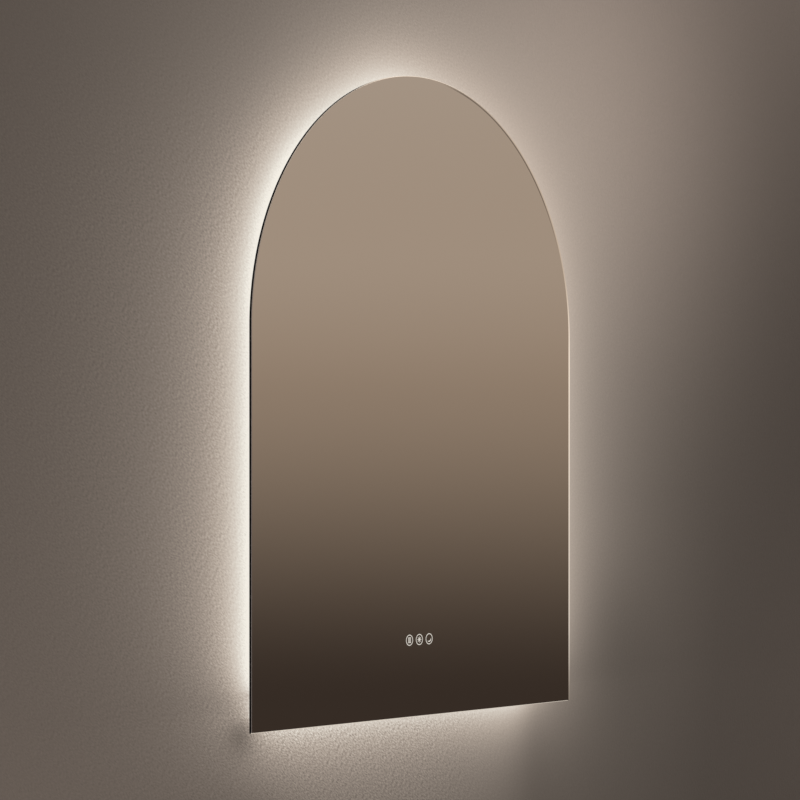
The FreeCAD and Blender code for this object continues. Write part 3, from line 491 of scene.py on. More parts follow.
finishes = {
    "backPaint": backPaintFinish(), "aluminium": aluminiumFinish(), "zinc": zincFinish("zincPlatedSteel"),
    "screw": zincFinish("brightPlatedScrew", 0.72), "rivet": zincFinish("satinRivet", 0.66),
    "rubber": rubberFinish(), "opal": opalFinish(), "board": boardFinish(), "foam": foamFinish(),
    "supply": mouldedFinish("whiteMouldedCase", linear(226, 226, 222)),
    "box": mouldedFinish("greyMouldedCase", linear(176, 178, 178)),
    "terminal": mouldedFinish("ivoryTerminal", linear(232, 228, 212), 0.3, 0.5),
    "gland": mouldedFinish("blackNylon", linear(38, 38, 39), 0.34, 0.6),
    "nylon": mouldedFinish("naturalNylon", linear(216, 215, 208), 0.34, 0.6),
    "touchCase": mouldedFinish("darkMouldedCase", linear(52, 52, 55), 0.36),
    "guide": mouldedFinish("whiteGuide", linear(236, 235, 230), 0.34, 0.4),
    "ceramic": mouldedFinish("blackCeramic", linear(40, 40, 42), 0.3, 0.3),
    "sheath": sheathFinish(), "lamp": lampFinish(), "strip": stripFinish(), "heater": heaterFinish(),
    "lug": copperFinish("tinnedLug", (0.66, 0.64, 0.60, 1.0)),
    "electrode": copperFinish("copperFoil", (0.86, 0.50, 0.32, 1.0)),
    "trace": copperFinish("printedTrace", (0.42, 0.42, 0.44, 1.0)),
}
print("finishes made:", len(finishes))


# Mirror plate

plate = {"halfWidth": 0.400, "low": -0.750, "spring": -0.150, "front": -0.03996, "back": -0.035,
         "arris": 0.0008, "rearArris": 0.00055, "margin": 0.0078, "arcSteps": 144}

black = (0.0, 0.0, 0.0, 1.0)
silver = {"colour": (0.93, 0.925, 0.915, 1.0), "roughness": 0.012, "smear": 0.014}

# Painted light: how the lit strip behind is painted into the rim of the glass, as painted highlights and
# painted reflections that glow as emission, and a dark line painted in the silver. Most pairs are the places
# between which a look sets in, and lineInset holds the two sides of the line.
paintedRimLight = {
    "corner": (-0.762, -0.622), "cornerLook": linear(126, 116, 105), "sideLook": linear(210, 198, 185),
    "bend": (-0.20, -0.02), "archLook": linear(124, 114, 103),
    "edgeTop": (0.212, 0.243), "edgeTopPaintedReflection": linear(196, 182, 166),
    "arrisTop": (0.21, 0.245), "arrisTopPaintedHighlight": linear(190, 176, 160), "arrisShift": 0.001,
    "footHeight": 0.0012, "footGap": 0.0025, "footPaintedHighlight": linear(200, 190, 176),
    "marginShift": 0.0041, "lineInset": (0.0033, 0.0010), "lineHeight": (-0.02, 0.10),
    "lineSide": (0.05, 0.12), "paintedDarkLine": (0.44, 0.43, 0.42, 1.0)}
# the ground bevel's glass tone, with a pale painted highlight that sets in towards the top
ground = {"dark": linear(100, 92, 89), "light": linear(126, 117, 113), "pale": linear(176, 162, 148),
          "paintedHighlightRise": (-0.2, 0.15)}


def paintedSideLight(finish, share, height):
    # painted light, strongest along the straight side, weaker near the corner and round the arch
    corner, bend = [finish.between(height, *paintedRimLight[place]) for place in ("corner", "bend")]
    lit = finish.mix(corner, paintedRimLight["cornerLook"], paintedRimLight["sideLook"])
    return finish.mix(share, black, finish.mix(bend, lit, paintedRimLight["archLook"]))


def rim(finish, x, z, shift):
    # half the width on the outline of the glass moved to the left by the shift, and more beyond it
    return finish.length(x + shift, finish.largest(z - plate["spring"], 0.0))


def silverFinish():
    finish = Finish("silveredGlass", baseColor=silver["colour"], metallic=1.0)
    finish.feed("roughness", silver["roughness"] + finish.noise(7.0, 3.0, 0.6) * silver["smear"])
    return finish


def edgeFinish():
    # Polished edge, seen along the sheet, so painted nearly black as painted shade. Near the top a painted
    # reflection of the lit wall glows on it instead.
    finish = Finish("polishedGlassEdge", specular=0.02, emissionStrength=1.0)
    height, = finish.axes("Z")
    finish.feed("emission", finish.mix(finish.between(height, *paintedRimLight["edgeTop"]), black,
                                       paintedRimLight["edgeTopPaintedReflection"]))
    return finish.patterned(finish.noise(90.0, 2.0), (0.0004, 0.0003, 0.0003, 1.0),
                            (0.0010, 0.0010, 0.0010, 1.0), 0.3, 0.1)


def arrisFinish():
    # A painted highlight: the ground bevel glows with the light it catches from behind along the right side
    # and the bottom, painted as emission.
    finish = Finish("groundArris", specular=0.1, emissionStrength=1.0)
    x, z = finish.axes("XZ")
    grind = finish.noise(900.0, 2.0, stretch=(1.0, 1.0, 0.2))
    gap = paintedRimLight["footGap"]
    foot = (z < plate["low"] + paintedRimLight["footHeight"]) * (abs(x + gap) < plate["halfWidth"] - gap)
    light = paintedSideLight(finish, rim(finish, x, z, paintedRimLight["arrisShift"]) > plate["halfWidth"], z)
    light = finish.mix(finish.between(z, *paintedRimLight["arrisTop"]), light, paintedRimLight["arrisTopPaintedHighlight"])
    finish.feed("emission", finish.mix(foot * (0.8 + grind * 0.4), light, paintedRimLight["footPaintedHighlight"]))
    glass = finish.mix(grind, ground["dark"], ground["light"])
    # paler towards the top: painted highlight
    finish.feed("baseColor", finish.mix(finish.between(z, *ground["paintedHighlightRise"]), glass, ground["pale"]))
    finish.feed("roughness", 0.35 + grind * 0.2)
    return finish


def marginFinish():
    # Silver up to the ground bevel, with a painted reflection of the lit edge glowing in its outermost strip
    # on the right.
    finish = Finish("silverMargin", metallic=1.0, emissionStrength=1.0)
    x, z = finish.axes("XZ")
    ripple = finish.noise(24.0, 2.0)
    out = rim(finish, x, z, paintedRimLight["marginShift"])
    finish.feed("emission", paintedSideLight(finish, (out > plate["halfWidth"]) * (0.85 + ripple * 0.3), z))
    # a dark line, painted reflection, runs inside the lit strip, round the right part of the arch
    far, near = [plate["halfWidth"] - inset for inset in paintedRimLight["lineInset"]]
    line = (out > far) * (out < near) * finish.between(z, *paintedRimLight["lineHeight"])
    line = line * finish.between(x, *paintedRimLight["lineSide"])
    finish.feed("baseColor", finish.mix(line, silver["colour"], paintedRimLight["paintedDarkLine"]))
    finish.feed("roughness", silver["roughness"] + ripple * silver["smear"])
    return finish


def archPoints(reach, y, foot, steps=plate["arcSteps"], top=math.inf):
    # Up the right side from the foot, round the arch and down the left side.
    points = [(reach, y, foot)]
    for i in range(steps + 1):
        angle = math.pi * i / steps
        points.append((reach * math.cos(angle), y, min(plate["spring"] + reach * math.sin(angle), top)))
    return points + [(-reach, y, foot)]


def mirrorPlate():
    front, back, arris, rear = plate["front"], plate["back"], plate["arris"], plate["rearArris"]
    form = bmesh.new()
    rings = []
    for inset, y in ((rear, back), (0.0, back - rear), (0.0, front + arris), (arris, front),
                     (plate["margin"], front)):
        outline = archPoints(plate["halfWidth"] - inset, y, plate["low"] + inset, top=cadBox[1][2])
        rings.append([form.verts.new(point) for point in outline])
    looks = [silverFinish(), edgeFinish(), arrisFinish(), marginFinish(), finishes["backPaint"]]
    for before, after, look in zip(rings, rings[1:], (1, 1, 2, 3)):
        for i in range(len(before)):
            j = (i + 1) % len(before)
            form.faces.new((before[i], before[j], after[j], after[i])).material_index = look
    form.faces.new(rings[-1]).material_index = 0
    form.faces.new(rings[0]).material_index = 4
    bmesh.ops.recalc_face_normals(form, faces=form.faces)
    return settle(smoothed(meshPiece("mirrorPlate", form, *looks), 20.0), "mirror", "mirror", "mirror_glass")


mirrorPlate()
print("mirror plate made")


# Touch icons

icons = {"pitch": 0.0247, "middle": -0.0025, "height": -0.6301, "ringRadius": 0.0080, "stroke": 0.0013,
         "thick": 0.00004, "front": -0.04}
sun = {"Rays": 8, "Inner": 0.0026, "Length": 0.0024, "Width": 0.0009, "Disc": 0.0025,
       "Thickness": icons["thick"]}
heat = {"Bars": 4, "Gap": 0.0018, "Bar": 0.0010, "Tall": 0.0069, "Wide": 0.0070, "Rail": 0.0009,
        "Thickness": icons["thick"]}
moon = {"outer": 0.0050, "inner": 0.0047, "lean": 0.0019, "aim": -64.0, "half": 82.0, "steps": 28}


def iconFinish():
    finish = Finish("litIcon", baseColor=(0.02, 0.02, 0.02, 1.0), specular=0.2, emissionStrength=1.0)
    patch = finish.noise(700.0, 2.0)
    finish.feed("emission", finish.mix(patch, linear(200, 194, 184), linear(226, 220, 210)))
    finish.feed("roughness", 0.2 + patch * 0.1)
    return finish


def iconPoint(index):
    across = icons["middle"] + (index - 1) * icons["pitch"]
    return (across, icons["front"] + icons["thick"] / 2, icons["height"])


def ringIcons(finish):
    # Three rings in a row, each a flat band.
    grower = Grower("ringRow", {"Radius": icons["ringRadius"], "Stroke": icons["stroke"],
                                "Thickness": icons["thick"], "Pitch": icons["pitch"], "Count": 3})
    circle = grower.out(grower.node("GeometryNodeCurvePrimitiveCircle", None, {
        "Resolution": 64, "Radius": grower.given("Radius")}))
    band = grower.out(grower.node("GeometryNodeCurvePrimitiveQuadrilateral", None, {
        "Width": grower.given("Stroke"), "Height": grower.given("Thickness")}))
    ring = grower.out(grower.node("GeometryNodeCurveToMesh", None, {"Curve": circle, "Profile Curve": band}))
    upright = grower.moved(ring, turn=(math.pi / 2, 0.0, 0.0))
    row = grower.row(grower.given("Count"), iconPoint(0), grower.given("Pitch"))
    return grower.grow("iconRings", grower.placed(row, upright), finish)


def sunIcon(finish):
    # Rays round a disc.
    grower = Grower("sunGlyph", sun)
    count, inner, length, width, disc, thick = grower.given(*sun)
    ray = grower.block(grower.vector(length, width, thick))
    index = grower.out(grower.node("GeometryNodeInputIndex"))
    turn = grower.vector(0.0, 0.0, index / count * (2 * math.pi))
    rays = grower.placed(grower.ring(count, inner + length / 2), ray, turn)
    whole = grower.together(rays, grower.rod(24, disc, thick))
    return grower.grow("iconSun", grower.moved(whole, iconPoint(1), (math.pi / 2, 0.0, 0.0)), finish)


def heatIcon(finish):
    # Upright bars between two rails.
    grower = Grower("heatGlyph", heat)
    count, gap, bar, tall, wide, rail, thick = grower.given(*heat)
    row = grower.row(count, grower.vector((count - 1) * gap * -0.5), gap)
    bars = grower.placed(row, grower.block(grower.vector(bar, thick, tall)))
    lift = tall / 2 + rail * 0.5
    across = grower.block(grower.vector(wide, thick, rail))
    rails = [grower.moved(across, grower.vector(0.0, 0.0, height)) for height in (lift, -lift)]
    return grower.grow("iconHeat", grower.moved(grower.together(bars, *rails), iconPoint(0)), finish)


def polar(radius, angle):
    return Vector((radius * math.cos(angle), radius * math.sin(angle)))


def moonIcon(finish):
    # A crescent lying in the lower right of its ring.
    aim, half, steps = math.radians(moon["aim"]), math.radians(moon["half"]), moon["steps"]
    shift = polar(-moon["lean"], aim)
    outline = [polar(moon["outer"], aim - half + 2 * half * i / steps) for i in range(steps + 1)]
    start, end = outline[-1] - shift, outline[0] - shift
    first, last = math.atan2(start.y, start.x), math.atan2(end.y, end.x)
    if last > first:
        last -= 2 * math.pi
    for i in range(1, steps):
        share = i / steps
        radius = start.length + (moon["inner"] - start.length) * math.sin(math.pi * share)
        outline.append(shift + polar(radius, first + (last - first) * share))
    centre = iconPoint(2)
    form = bmesh.new()
    rings = [[form.verts.new((centre[0] + p.x, centre[1] + side * icons["thick"], centre[2] + p.y))
              for p in outline] for side in (-0.5, 0.5)]
    front, back = rings
    for ring in rings:
        form.faces.new(ring)
    for i in range(len(outline)):
        j = (i + 1) % len(outline)
        form.faces.new((front[i], front[j], back[j], back[i]))
    bmesh.ops.recalc_face_normals(form, faces=form.faces)
    return meshPiece("iconMoon", form, finish)


litIcon = iconFinish()
for icon in (ringIcons(litIcon), sunIcon(litIcon), heatIcon(litIcon), moonIcon(litIcon)):
    settle(icon, "mirror", "lamp")
print("touch icons made")


# Light frame and diffuser

lightFrame = {"web": 0.058, "wall": 0.0015, "front": -0.0335, "back": -0.0035, "middle": -0.0185,
              "frontFlange": 0.0155, "rearFlange": 0.012, "lipTip": 0.0535, "lipHalf": 0.007,
              "lipWall": 0.0012, "bead": 0.0006, "beadLength": 0.001, "bend": 0.0008}
diffuser = {"outer": 0.050, "wall": 0.0012, "half": 0.0091, "hook": 0.0548, "hookLength": 0.0012,
            "barb": 0.0006, "crown": 0.0006, "round": 0.001, "end": 0.070}


def both(side, middle):
    # A section's front half and its mirror image towards the wall.
    return side + [(inset, 2 * middle - y) for inset, y in reversed(side)]


def frameSection():
    # Points are the inset from the glass outline and the depth.
    f = lightFrame
    web, wall, front, back, bend = f["web"], f["wall"], f["front"], f["back"], f["bend"]
    inside = f["middle"] - f["lipHalf"]
    outside = inside - f["lipWall"]
    tip, end = f["lipTip"], f["lipTip"] + f["beadLength"]
    lip = both([(web, outside), (end, outside), (end, outside - f["bead"]), (tip, outside), (tip, inside),
                (web, inside)], f["middle"])
    glassSide = [(web + f["frontFlange"], front + wall), (web + f["frontFlange"], front), (web + bend, front),
                 (web, front + bend)]
    wallSide = [(web, back - bend), (web + bend, back), (web + f["rearFlange"], back),
                (web + f["rearFlange"], back - wall), (web + wall, back - wall), (web + wall, front + wall)]
    return glassSide + lip + wallSide


def diffuserSection():
    # Slightly crowned, as an extruded opal channel is, with its two hooks.
    d, middle = diffuser, lightFrame["middle"]
    inside = middle - d["half"]
    outside = inside - d["wall"]
    hook, end = d["hook"], d["hook"] + d["hookLength"]
    side = [(d["outer"] + d["crown"], outside), (end, outside), (end, inside), (hook, inside + d["barb"]),
            (hook, inside), (d["outer"] + d["wall"] + d["crown"], inside)]
    corner = d["half"] - d["round"]
    return both(side, middle) + [(d["outer"], middle + corner), (d["outer"], middle - corner)]


def footLine(end):
    return [(-end, 0.0, plate["low"]), (end, 0.0, plate["low"])]


def lineAndSection(name, line, section):
    # One mesh with the open line and the closed section, told apart by an attribute.
    count = len(line)
    edges = [(i, i + 1) for i in range(count - 1)]
    edges += [(count + i, count + (i + 1) % len(section)) for i in range(len(section))]
    mesh = bpy.data.meshes.new(name + "Line")
    mesh.from_pydata(line + [(y, inset, 0.0) for inset, y in section], edges, [])
    layer = mesh.attributes.new("onSection", "BOOLEAN", "POINT")
    for i, item in enumerate(layer.data):
        item.value = i >= count
    return mesh


def swept(name, section, line, finish, mitre=""):
    # Draws the section along the line. A mitre moves the end faces to 45 degrees, along Z or along X.
    grower = Grower(name, {"Half Width": plate["halfWidth"], "Low": plate["low"], "Reach": 0.0005})
    wide, low, reach = grower.given("Half Width", "Low", "Reach")
    parts = grower.node("GeometryNodeSeparateGeometry", {"domain": "POINT"}, {
        "Geometry": grower.given(), "Selection": grower.attribute("BOOLEAN", "onSection")})
    profile, rail = [grower.curve(grower.out(parts, side)) for side in ("Selection", "Inverted")]
    rail = grower.out(grower.node("GeometryNodeSetCurveNormal", {"mode": "FREE"},
                                  {"Curve": rail, "Normal": (0.0, 1.0, 0.0)}))
    body = grower.out(grower.node("GeometryNodeCurveToMesh", None, {
        "Curve": rail, "Profile Curve": profile, "Fill Caps": True}))
    x, y, z = grower.apart(grower.out(grower.node("GeometryNodeInputPosition")))
    if mitre == "Z":
        ends, moved = z < low + reach, grower.vector(x, y, low + wide - abs(x))
    elif mitre == "X":
        ends = abs(x) > wide - reach
        moved = grower.vector(grower.maths("SIGN", x) * (wide - (z - low)), y, z)
    if mitre:
        body = grower.out(grower.node("GeometryNodeSetPosition", None, {
            "Geometry": body, "Selection": ends, "Position": moved}))
    made = grower.grow(name, body, finish, lineAndSection(name, line, section))
    form = welded(made.data, 1e-7)
    bmesh.ops.recalc_face_normals(form, faces=form.faces)
    form.to_mesh(made.data)
    form.free()
    return smoothed(made, 25.0)


halfWidth, lowEdge, cut = plate["halfWidth"], plate["low"], diffuser["end"]
metal = (frameSection(), finishes["aluminium"], "frame")
opal = (diffuserSection(), finishes["opal"], "opal")
for name, (section, finish, slot), line, node, mitre in (
        ("frameArch", metal, archPoints(halfWidth, 0.0, lowEdge), "frame_arch", "Z"),
        ("frameFoot", metal, footLine(halfWidth), "frame_bottom", "X"),
        ("diffuserArch", opal, archPoints(halfWidth, 0.0, lowEdge + cut), "diffuser_arch", ""),
        ("diffuserFoot", opal, footLine(halfWidth - cut), "diffuser_bottom", "")):
    settle(swept(name, section, line, finish, mitre), "mirror", slot, node)
print("light frame and diffuser made")


# Strip parts

stripParts = {"inset": 0.0577, "start": -0.655, "steps": 72}
resistor = {"Pitch": 0.040, "Body": (0.0032, 0.0016, 0.0006), "Pad": (0.0020, 0.0020, 0.0001),
            "Pad Side": 0.0021, "Pad Drop": 0.0002, "Lift": 0.0004}


def stripPath():
    points = archPoints(plate["halfWidth"] - stripParts["inset"], lightFrame["middle"], stripParts["start"],
                        stripParts["steps"])
    mesh = bpy.data.meshes.new("stripPath")
    mesh.from_pydata(points, [(i, i + 1) for i in range(len(points) - 1)], [])
    return mesh


def resistors(finish):
    # A resistor and its two solder pads between each pair of lamps, all along the strip.
    grower = Grower("stripResistors", resistor)
    pitch, body, pad, side, drop, lift = grower.given(*resistor)
    spots = grower.node("GeometryNodeCurveToPoints", {"mode": "LENGTH"},
                        {"Curve": grower.curve(grower.given()), "Length": pitch})
    pads = [grower.moved(grower.block(pad), grower.vector(side * way, 0.0, -drop)) for way in (-1.0, 1.0)]
    part = grower.moved(grower.together(grower.block(body), *pads), grower.vector(0.0, 0.0, lift))
    turn = grower.node("FunctionNodeAxesToRotation", {"primary_axis": "X", "secondary_axis": "Y"},
                       {"Primary Axis": grower.out(spots, "Tangent"), "Secondary Axis": (0.0, 1.0, 0.0)})
    placed = grower.placed(grower.out(spots, "Points"), part, grower.out(turn))
    return grower.grow("stripResistors", placed, finish, stripPath())


settle(resistors(finishes["ceramic"]), "mirror", "led")
print("strip parts made")


# Screws and rivets

fastener = {"segments": 24, "rings": 13, "shankSides": 16, "wide": 1.15, "deep": (0.90, 0.94), "seed": 7,
            "mostSpin": 1.5, "level": 2e-5, "shortest": 0.0002}


def looseParts(node):
    # The points of each separate solid of a CAD node.
    form = welded(nodes[node].data)
    seen, parts = set(), []
    for vert in form.verts:
        if vert in seen:
            continue
        seen.add(vert)
        queue, points = [vert], []
        while queue:
            here = queue.pop()
            points.append(here.co.copy())
            for edge in here.link_edges:
                other = edge.other_vert(here)
                if other not in seen:
                    seen.add(other)
                    queue.append(other)
        parts.append(points)
    form.free()
    return parts


def fastenerIn(points):
    # Where a many-sided screw or rivet sits: seat, outward direction, and its measures.
    low = Vector([min(p[i] for p in points) for i in range(3)])
    high = Vector([max(p[i] for p in points) for i in range(3)])
    size, middle = high - low, (low + high) / 2
    axis = min(range(3), key=lambda i: abs(size[(i + 1) % 3] - size[(i + 2) % 3]))

    def reach(level):
        ring = [p - middle for p in points if abs(p[axis] - level) < fastener["level"]]
        return max(math.hypot(*[p[i] for i in range(3) if i != axis]) for p in ring)

    side = 1.0 if reach(high[axis]) > reach(low[axis]) - 1e-5 else -1.0
    top = high[axis] if side > 0 else low[axis]
    head = sorted({round(abs(p[axis] - top), 5) for p in points})[1]
    seat = middle.copy()
    seat[axis] = top - side * head
    return {"seat": seat, "facing": Vector([side if i == axis else 0.0 for i in range(3)]),
            "radius": reach(top), "height": head, "shank": min(reach(p[axis]) for p in points),
            "length": max(size[axis] - head, fastener["shortest"])}


def dome(grower, radius, height):
    # The upper half of a flattened ball, resting on zero.
    ball = grower.out(grower.node("GeometryNodeMeshUVSphere", None, {
        "Segments": fastener["segments"], "Rings": fastener["rings"], "Radius": 1.0}))
    flat = grower.moved(ball, scale=grower.vector(radius, radius, height))
    under = grower.moved(grower.block(grower.vector(radius * 3, radius * 3, height * 2)),
                         grower.vector(0.0, 0.0, height * -1.0))
    return grower.less(flat, under)


def fasteners(name, node, finish, slot, recess):
    places = [fastenerIn(points) for points in looseParts(node)]
    first = places[0]
    sizes = {"Head Radius": first["radius"], "Head Height": first["height"], "Shank Radius": first["shank"],
             "Shank Length": first["length"], "Recess": recess, "Seed": fastener["seed"]}
    grower = Grower(name, sizes)
    radius, height, shankRadius, shankLength, slit, seed = grower.given(*sizes)
    head = dome(grower, radius, height)
    if recess > 0:
        for turn, deep in zip((0.0, math.pi / 2), fastener["deep"]):
            bar = grower.block(grower.vector(radius * fastener["wide"], radius * slit, height * deep))
            head = grower.less(head, grower.moved(bar, grower.vector(0.0, 0.0, height), (0.0, 0.0, turn)))
    shank = grower.rod(fastener["shankSides"], shankRadius, shankLength)
    whole = [head, grower.moved(shank, grower.vector(0.0, 0.0, shankLength * -0.5))]
    if recess == 0:
        # a rivet has a head at its other end too
        far = grower.vector(0.0, 0.0, height - shankLength)
        whole.append(grower.moved(dome(grower, radius, height), far, (math.pi, 0.0, 0.0)))
    aim = grower.out(grower.node("FunctionNodeAlignRotationToVector", {"axis": "Z"},
                                 {"Vector": grower.attribute("FLOAT_VECTOR", "facing")}))
    chance = grower.node("FunctionNodeRandomValue", {"data_type": "FLOAT"},
                         {2: 0.0, 3: fastener["mostSpin"], "Seed": seed})
    spin = grower.out(grower.node("FunctionNodeEulerToRotation", None,
                                  {0: grower.vector(0.0, 0.0, grower.out(chance, 1))}))
    spun = grower.node("FunctionNodeRotateRotation", {"rotation_space": "LOCAL"}, {0: aim, 1: spin})
    mesh = bpy.data.meshes.new(name + "Places")
    mesh.from_pydata([place["seat"] for place in places], [], [])
    layer = mesh.attributes.new("facing", "FLOAT_VECTOR", "POINT")
    for item, place in zip(layer.data, places):
        item.vector = place["facing"]
    placed = grower.placed(grower.given(), grower.together(*whole), grower.out(spun))
    return settle(smoothed(grower.grow(name, placed, finish, mesh)), "mirror", slot, node)


for label, node, recess in (("cornerScrews", "corner_screws", 0.3), ("supplyScrews", "driver_screws", 0.3),
                            ("terminalScrews", "terminal_screws", 0.26), ("earthScrew", "earth_screw", 0.3)):
    fasteners(label, node, finishes["screw"], "screw", recess)
fasteners("hangerRivets", "hanger_rivets", finishes["rivet"], "rivet", 0.0)
print("screws and rivets made")


# Housings with eased edges

for node, name, body, slot, look, width in (
        ("driver_base", "supplyTray", "mirror", "supply_case", "supply", 0.0008),
        ("driver_cover", "supplyCover", "mirror", "supply_case", "supply", 0.0006),
        ("wiring_box_base", "wiringTray", "mirror", "box_case", "box", 0.0005),
        ("wiring_box_lid", "wiringLid", "box_lid", "box_case", "box", 0.0005),
        ("touch_housing", "touchCase", "mirror", "touch_case", "touchCase", 0.0006),
        ("terminal_block", "terminalBlock", "mirror", "terminal", "terminal", 0.0004),
        ("demister_terminal", "heaterCap", "mirror", "clip", "nylon", 0.0008),
        ("wall_rail", "wallRail", "wall_rail", "steel", "zinc", 0.0003),
        ("hanger_bar", "hangerBar", "mirror", "steel", "zinc", 0.0003),
        ("wall_bumpers", "wallBumpers", "mirror", "rubber", "rubber", 0.0006),
        ("lead_clips", "leadClips", "mirror", "clip", "nylon", 0.0003)):
    softened(node, name, body, slot, finishes[look], width)
print("housings eased")


# Leads

# name, radius and route
leads = {
    "lead_mains_driver": ("leadMainsDriver", 0.0025, [
        (-0.054, -0.0285, -0.537), (0.005, -0.0285, -0.537), (0.064, -0.0285, -0.537)]),
    "lead_leds": ("leadLeds", 0.0018, [
        (-0.226, -0.0285, -0.528), (-0.262, -0.0285, -0.528), (-0.290, -0.0275, -0.528),
        (-0.312, -0.0190, -0.528), (-0.3419, -0.0185, -0.528)]),
    "lead_driver_touch": ("leadDriverTouch", 0.0018, [
        (-0.140, -0.0285, -0.556), (-0.140, -0.0285, -0.588), (-0.140, -0.0285, -0.6306),
        (-0.098, -0.0285, -0.6306), (-0.0478, -0.0285, -0.6306)]),
    "lead_demister": ("leadDemister", 0.0018, [
        (0.165, -0.0285, -0.514), (0.165, -0.0285, -0.475), (0.165, -0.0285, -0.4363)]),
    "earth_lead": ("earthLead", 0.0015, [
        (0.165, -0.0275, -0.566), (0.165, -0.0275, -0.628), (0.165, -0.0275, -0.6895)]),
}
leadForm = {"round": 5, "along": 16, "weld": 1e-6, "crisp": 50.0}
stripe = {"turn": 0.024, "from": 0.30, "to": 0.42}


def earthFinish():
    # green sheath with a yellow stripe that winds round the lead
    finish = Finish("earthSheath", specular=0.45)
    x, y, z = finish.axes()
    axis = leads["earth_lead"][2][0]            # the lead runs straight down from here
    turn = finish.maths("ARCTAN2", y - axis[1], x - axis[0])
    wave = finish.maths("SINE", turn + z * (2 * math.pi / stripe["turn"]))
    yellow = finish.between(wave, stripe["from"], stripe["to"])
    finish.feed("baseColor", finish.mix(yellow, linear(46, 128, 48), linear(228, 205, 40)))
    finish.feed("roughness", 0.4 + finish.noise(400.0) * 0.1)
    return finish


def lead(node, name, radius, route):
    look, slot = ("earth", "earth_sheath") if node == "earth_lead" else ("sheath", "sheath")
    curve = bpy.data.curves.new(node, "CURVE")
    curve.dimensions = "3D"
    curve.bevel_depth = radius
    curve.bevel_resolution = leadForm["round"]
    curve.resolution_u = leadForm["along"]
    curve.use_fill_caps = True
    spline = curve.splines.new("NURBS")
    spline.points.add(len(route) - 1)
    for point, place in zip(spline.points, route):
        point.co = (*place, 1.0)
    spline.order_u = 3
    spline.use_endpoint_u = True
    holder = inScene(node + "Curve", curve)
    form = welded(plainMesh(holder), leadForm["weld"])
    bpy.data.objects.remove(holder)
    bmesh.ops.recalc_face_normals(form, faces=form.faces)
    piece = smoothed(meshPiece(name, form, finishes[look]), leadForm["crisp"])
    return settle(piece, "mirror", slot, node)


finishes["earth"] = earthFinish()
for node, (name, radius, route) in leads.items():
    lead(node, name, radius, route)
print("leads made")


# Cable gland

gland = {"x": 0.100, "y": -0.0225, "steps": 48, "ribMiddle": -0.5788}
ribs = {"Ribs": 18, "Radius": 0.0077, "Rib Radius": 0.0005, "Rib Length": 0.0074}
capProfile = [(0.0040, -0.5872), (0.0052, -0.5873), (0.0066, -0.5862), (0.0070, -0.5843), (0.0070, -0.5834),
              (0.0078, -0.5826), (0.0078, -0.5750), (0.0074, -0.5744), (0.0066, -0.5744), (0.0066, -0.5826),
              (0.0040, -0.5840)]        # radius and height


def turned(name, profile, finish):
    # A closed profile turned about the gland's upright axis.
    form = bmesh.new()
    rings = []
    for i in range(gland["steps"]):
        angle = 2 * math.pi * i / gland["steps"]
        across = [(gland["x"] + radius * math.cos(angle), gland["y"] + radius * math.sin(angle), z)
                  for radius, z in profile]
        rings.append([form.verts.new(point) for point in across])
    for i, before in enumerate(rings):
        after = rings[(i + 1) % len(rings)]
        for a in range(len(profile)):
            b = (a + 1) % len(profile)
            form.faces.new((before[a], before[b], after[b], after[a]))
    bmesh.ops.recalc_face_normals(form, faces=form.faces)
    return smoothed(meshPiece(name, form, finish), 30.0)


def glandCap(finish):
    # A domed nut with grip ribs round it.
    shell = turned("glandCapShell", capProfile, finish)
    grower = Grower("glandRibs", ribs)
    count, radius, ribRadius, ribLength = grower.given(*ribs)
    grips = grower.placed(grower.ring(count, radius), grower.rod(8, ribRadius, ribLength))
    grips = grower.moved(grips, (gland["x"], gland["y"], gland["ribMiddle"]))
    whole = smoothed(grower.grow("glandCap", grower.together(grower.given(), grips), finish, shell.data))
    bpy.data.objects.remove(shell)
    return settle(whole, "mirror", "gland", "gland_cap")


glandCap(finishes["gland"])
softened("gland_body", "glandBody", "mirror", "gland", finishes["gland"], 0.0003)
softened("gland_locknut", "glandLocknut", "mirror", "gland", finishes["gland"], 0.0004)
print("cable gland made")


# Heating trace

heaterPlace = (0.0, -0.03416, -0.240)
heaterTrack = {"Bars": 20, "Pitch": 0.0196, "Tall": 0.372, "Wide": 0.0030, "Thick": 0.00008}


def heaterTrace(finish):
    # Upright bars joined alternately at the top and the bottom into one long printed track.
    grower = Grower("heaterTrace", heaterTrack)
    bars, pitch, tall, wide, thick = grower.given(*heaterTrack)
    link = grower.block(grower.vector(pitch + wide, thick, wide))
    first = (bars - 1) * pitch * -0.5
    upright = grower.row(bars, grower.vector(first), pitch)
    rows = [grower.placed(upright, grower.block(grower.vector(wide, thick, tall)))]
    for start, height, count in ((0.5, 0.5, bars * 0.5), (1.5, -0.5, bars * 0.5 - 1)):
        paintedShadows = grower.row(count, grower.vector(first + pitch * start, 0.0, tall * height), pitch * 2)
        rows.append(grower.placed(paintedShadows, link))
    return grower.grow("heaterTrace", grower.moved(grower.together(*rows), heaterPlace), finish)


settle(heaterTrace(finishes["trace"]), "mirror", "heater")
print("heating trace made")


# Finishes on the CAD nodes that stay

for look, names in {
        "backPaint": ["backing_film"], "foam": ["bonding_tape_arch", "bonding_tape_bottom", "fixing_pads"],
        "opal": ["diffuser_end_caps"], "strip": ["led_strip_arch", "led_strip_bottom", "strip_jumper"],
        "lamp": ["led_chips_arch", "led_chips_bottom", "touch_lamps"],
        "zinc": ["corner_bracket_right", "corner_bracket_left"], "screw": ["lid_hinge_pin"],
        "rubber": ["gland_seal", "lead_grommet"], "board": ["driver_board", "touch_board"],
        "lug": ["earth_lug"], "guide": ["light_guides"], "electrode": ["touch_electrodes"],
        "heater": ["demister_pad"]}.items():
    dress(finishes[look], *names)
print("CAD nodes dressed")


# Wall and floor

stage = {"wallY": 0.0008, "wallHalf": 3.0, "low": -1.15, "wallHigh": 1.9, "floorReach": 5.0}
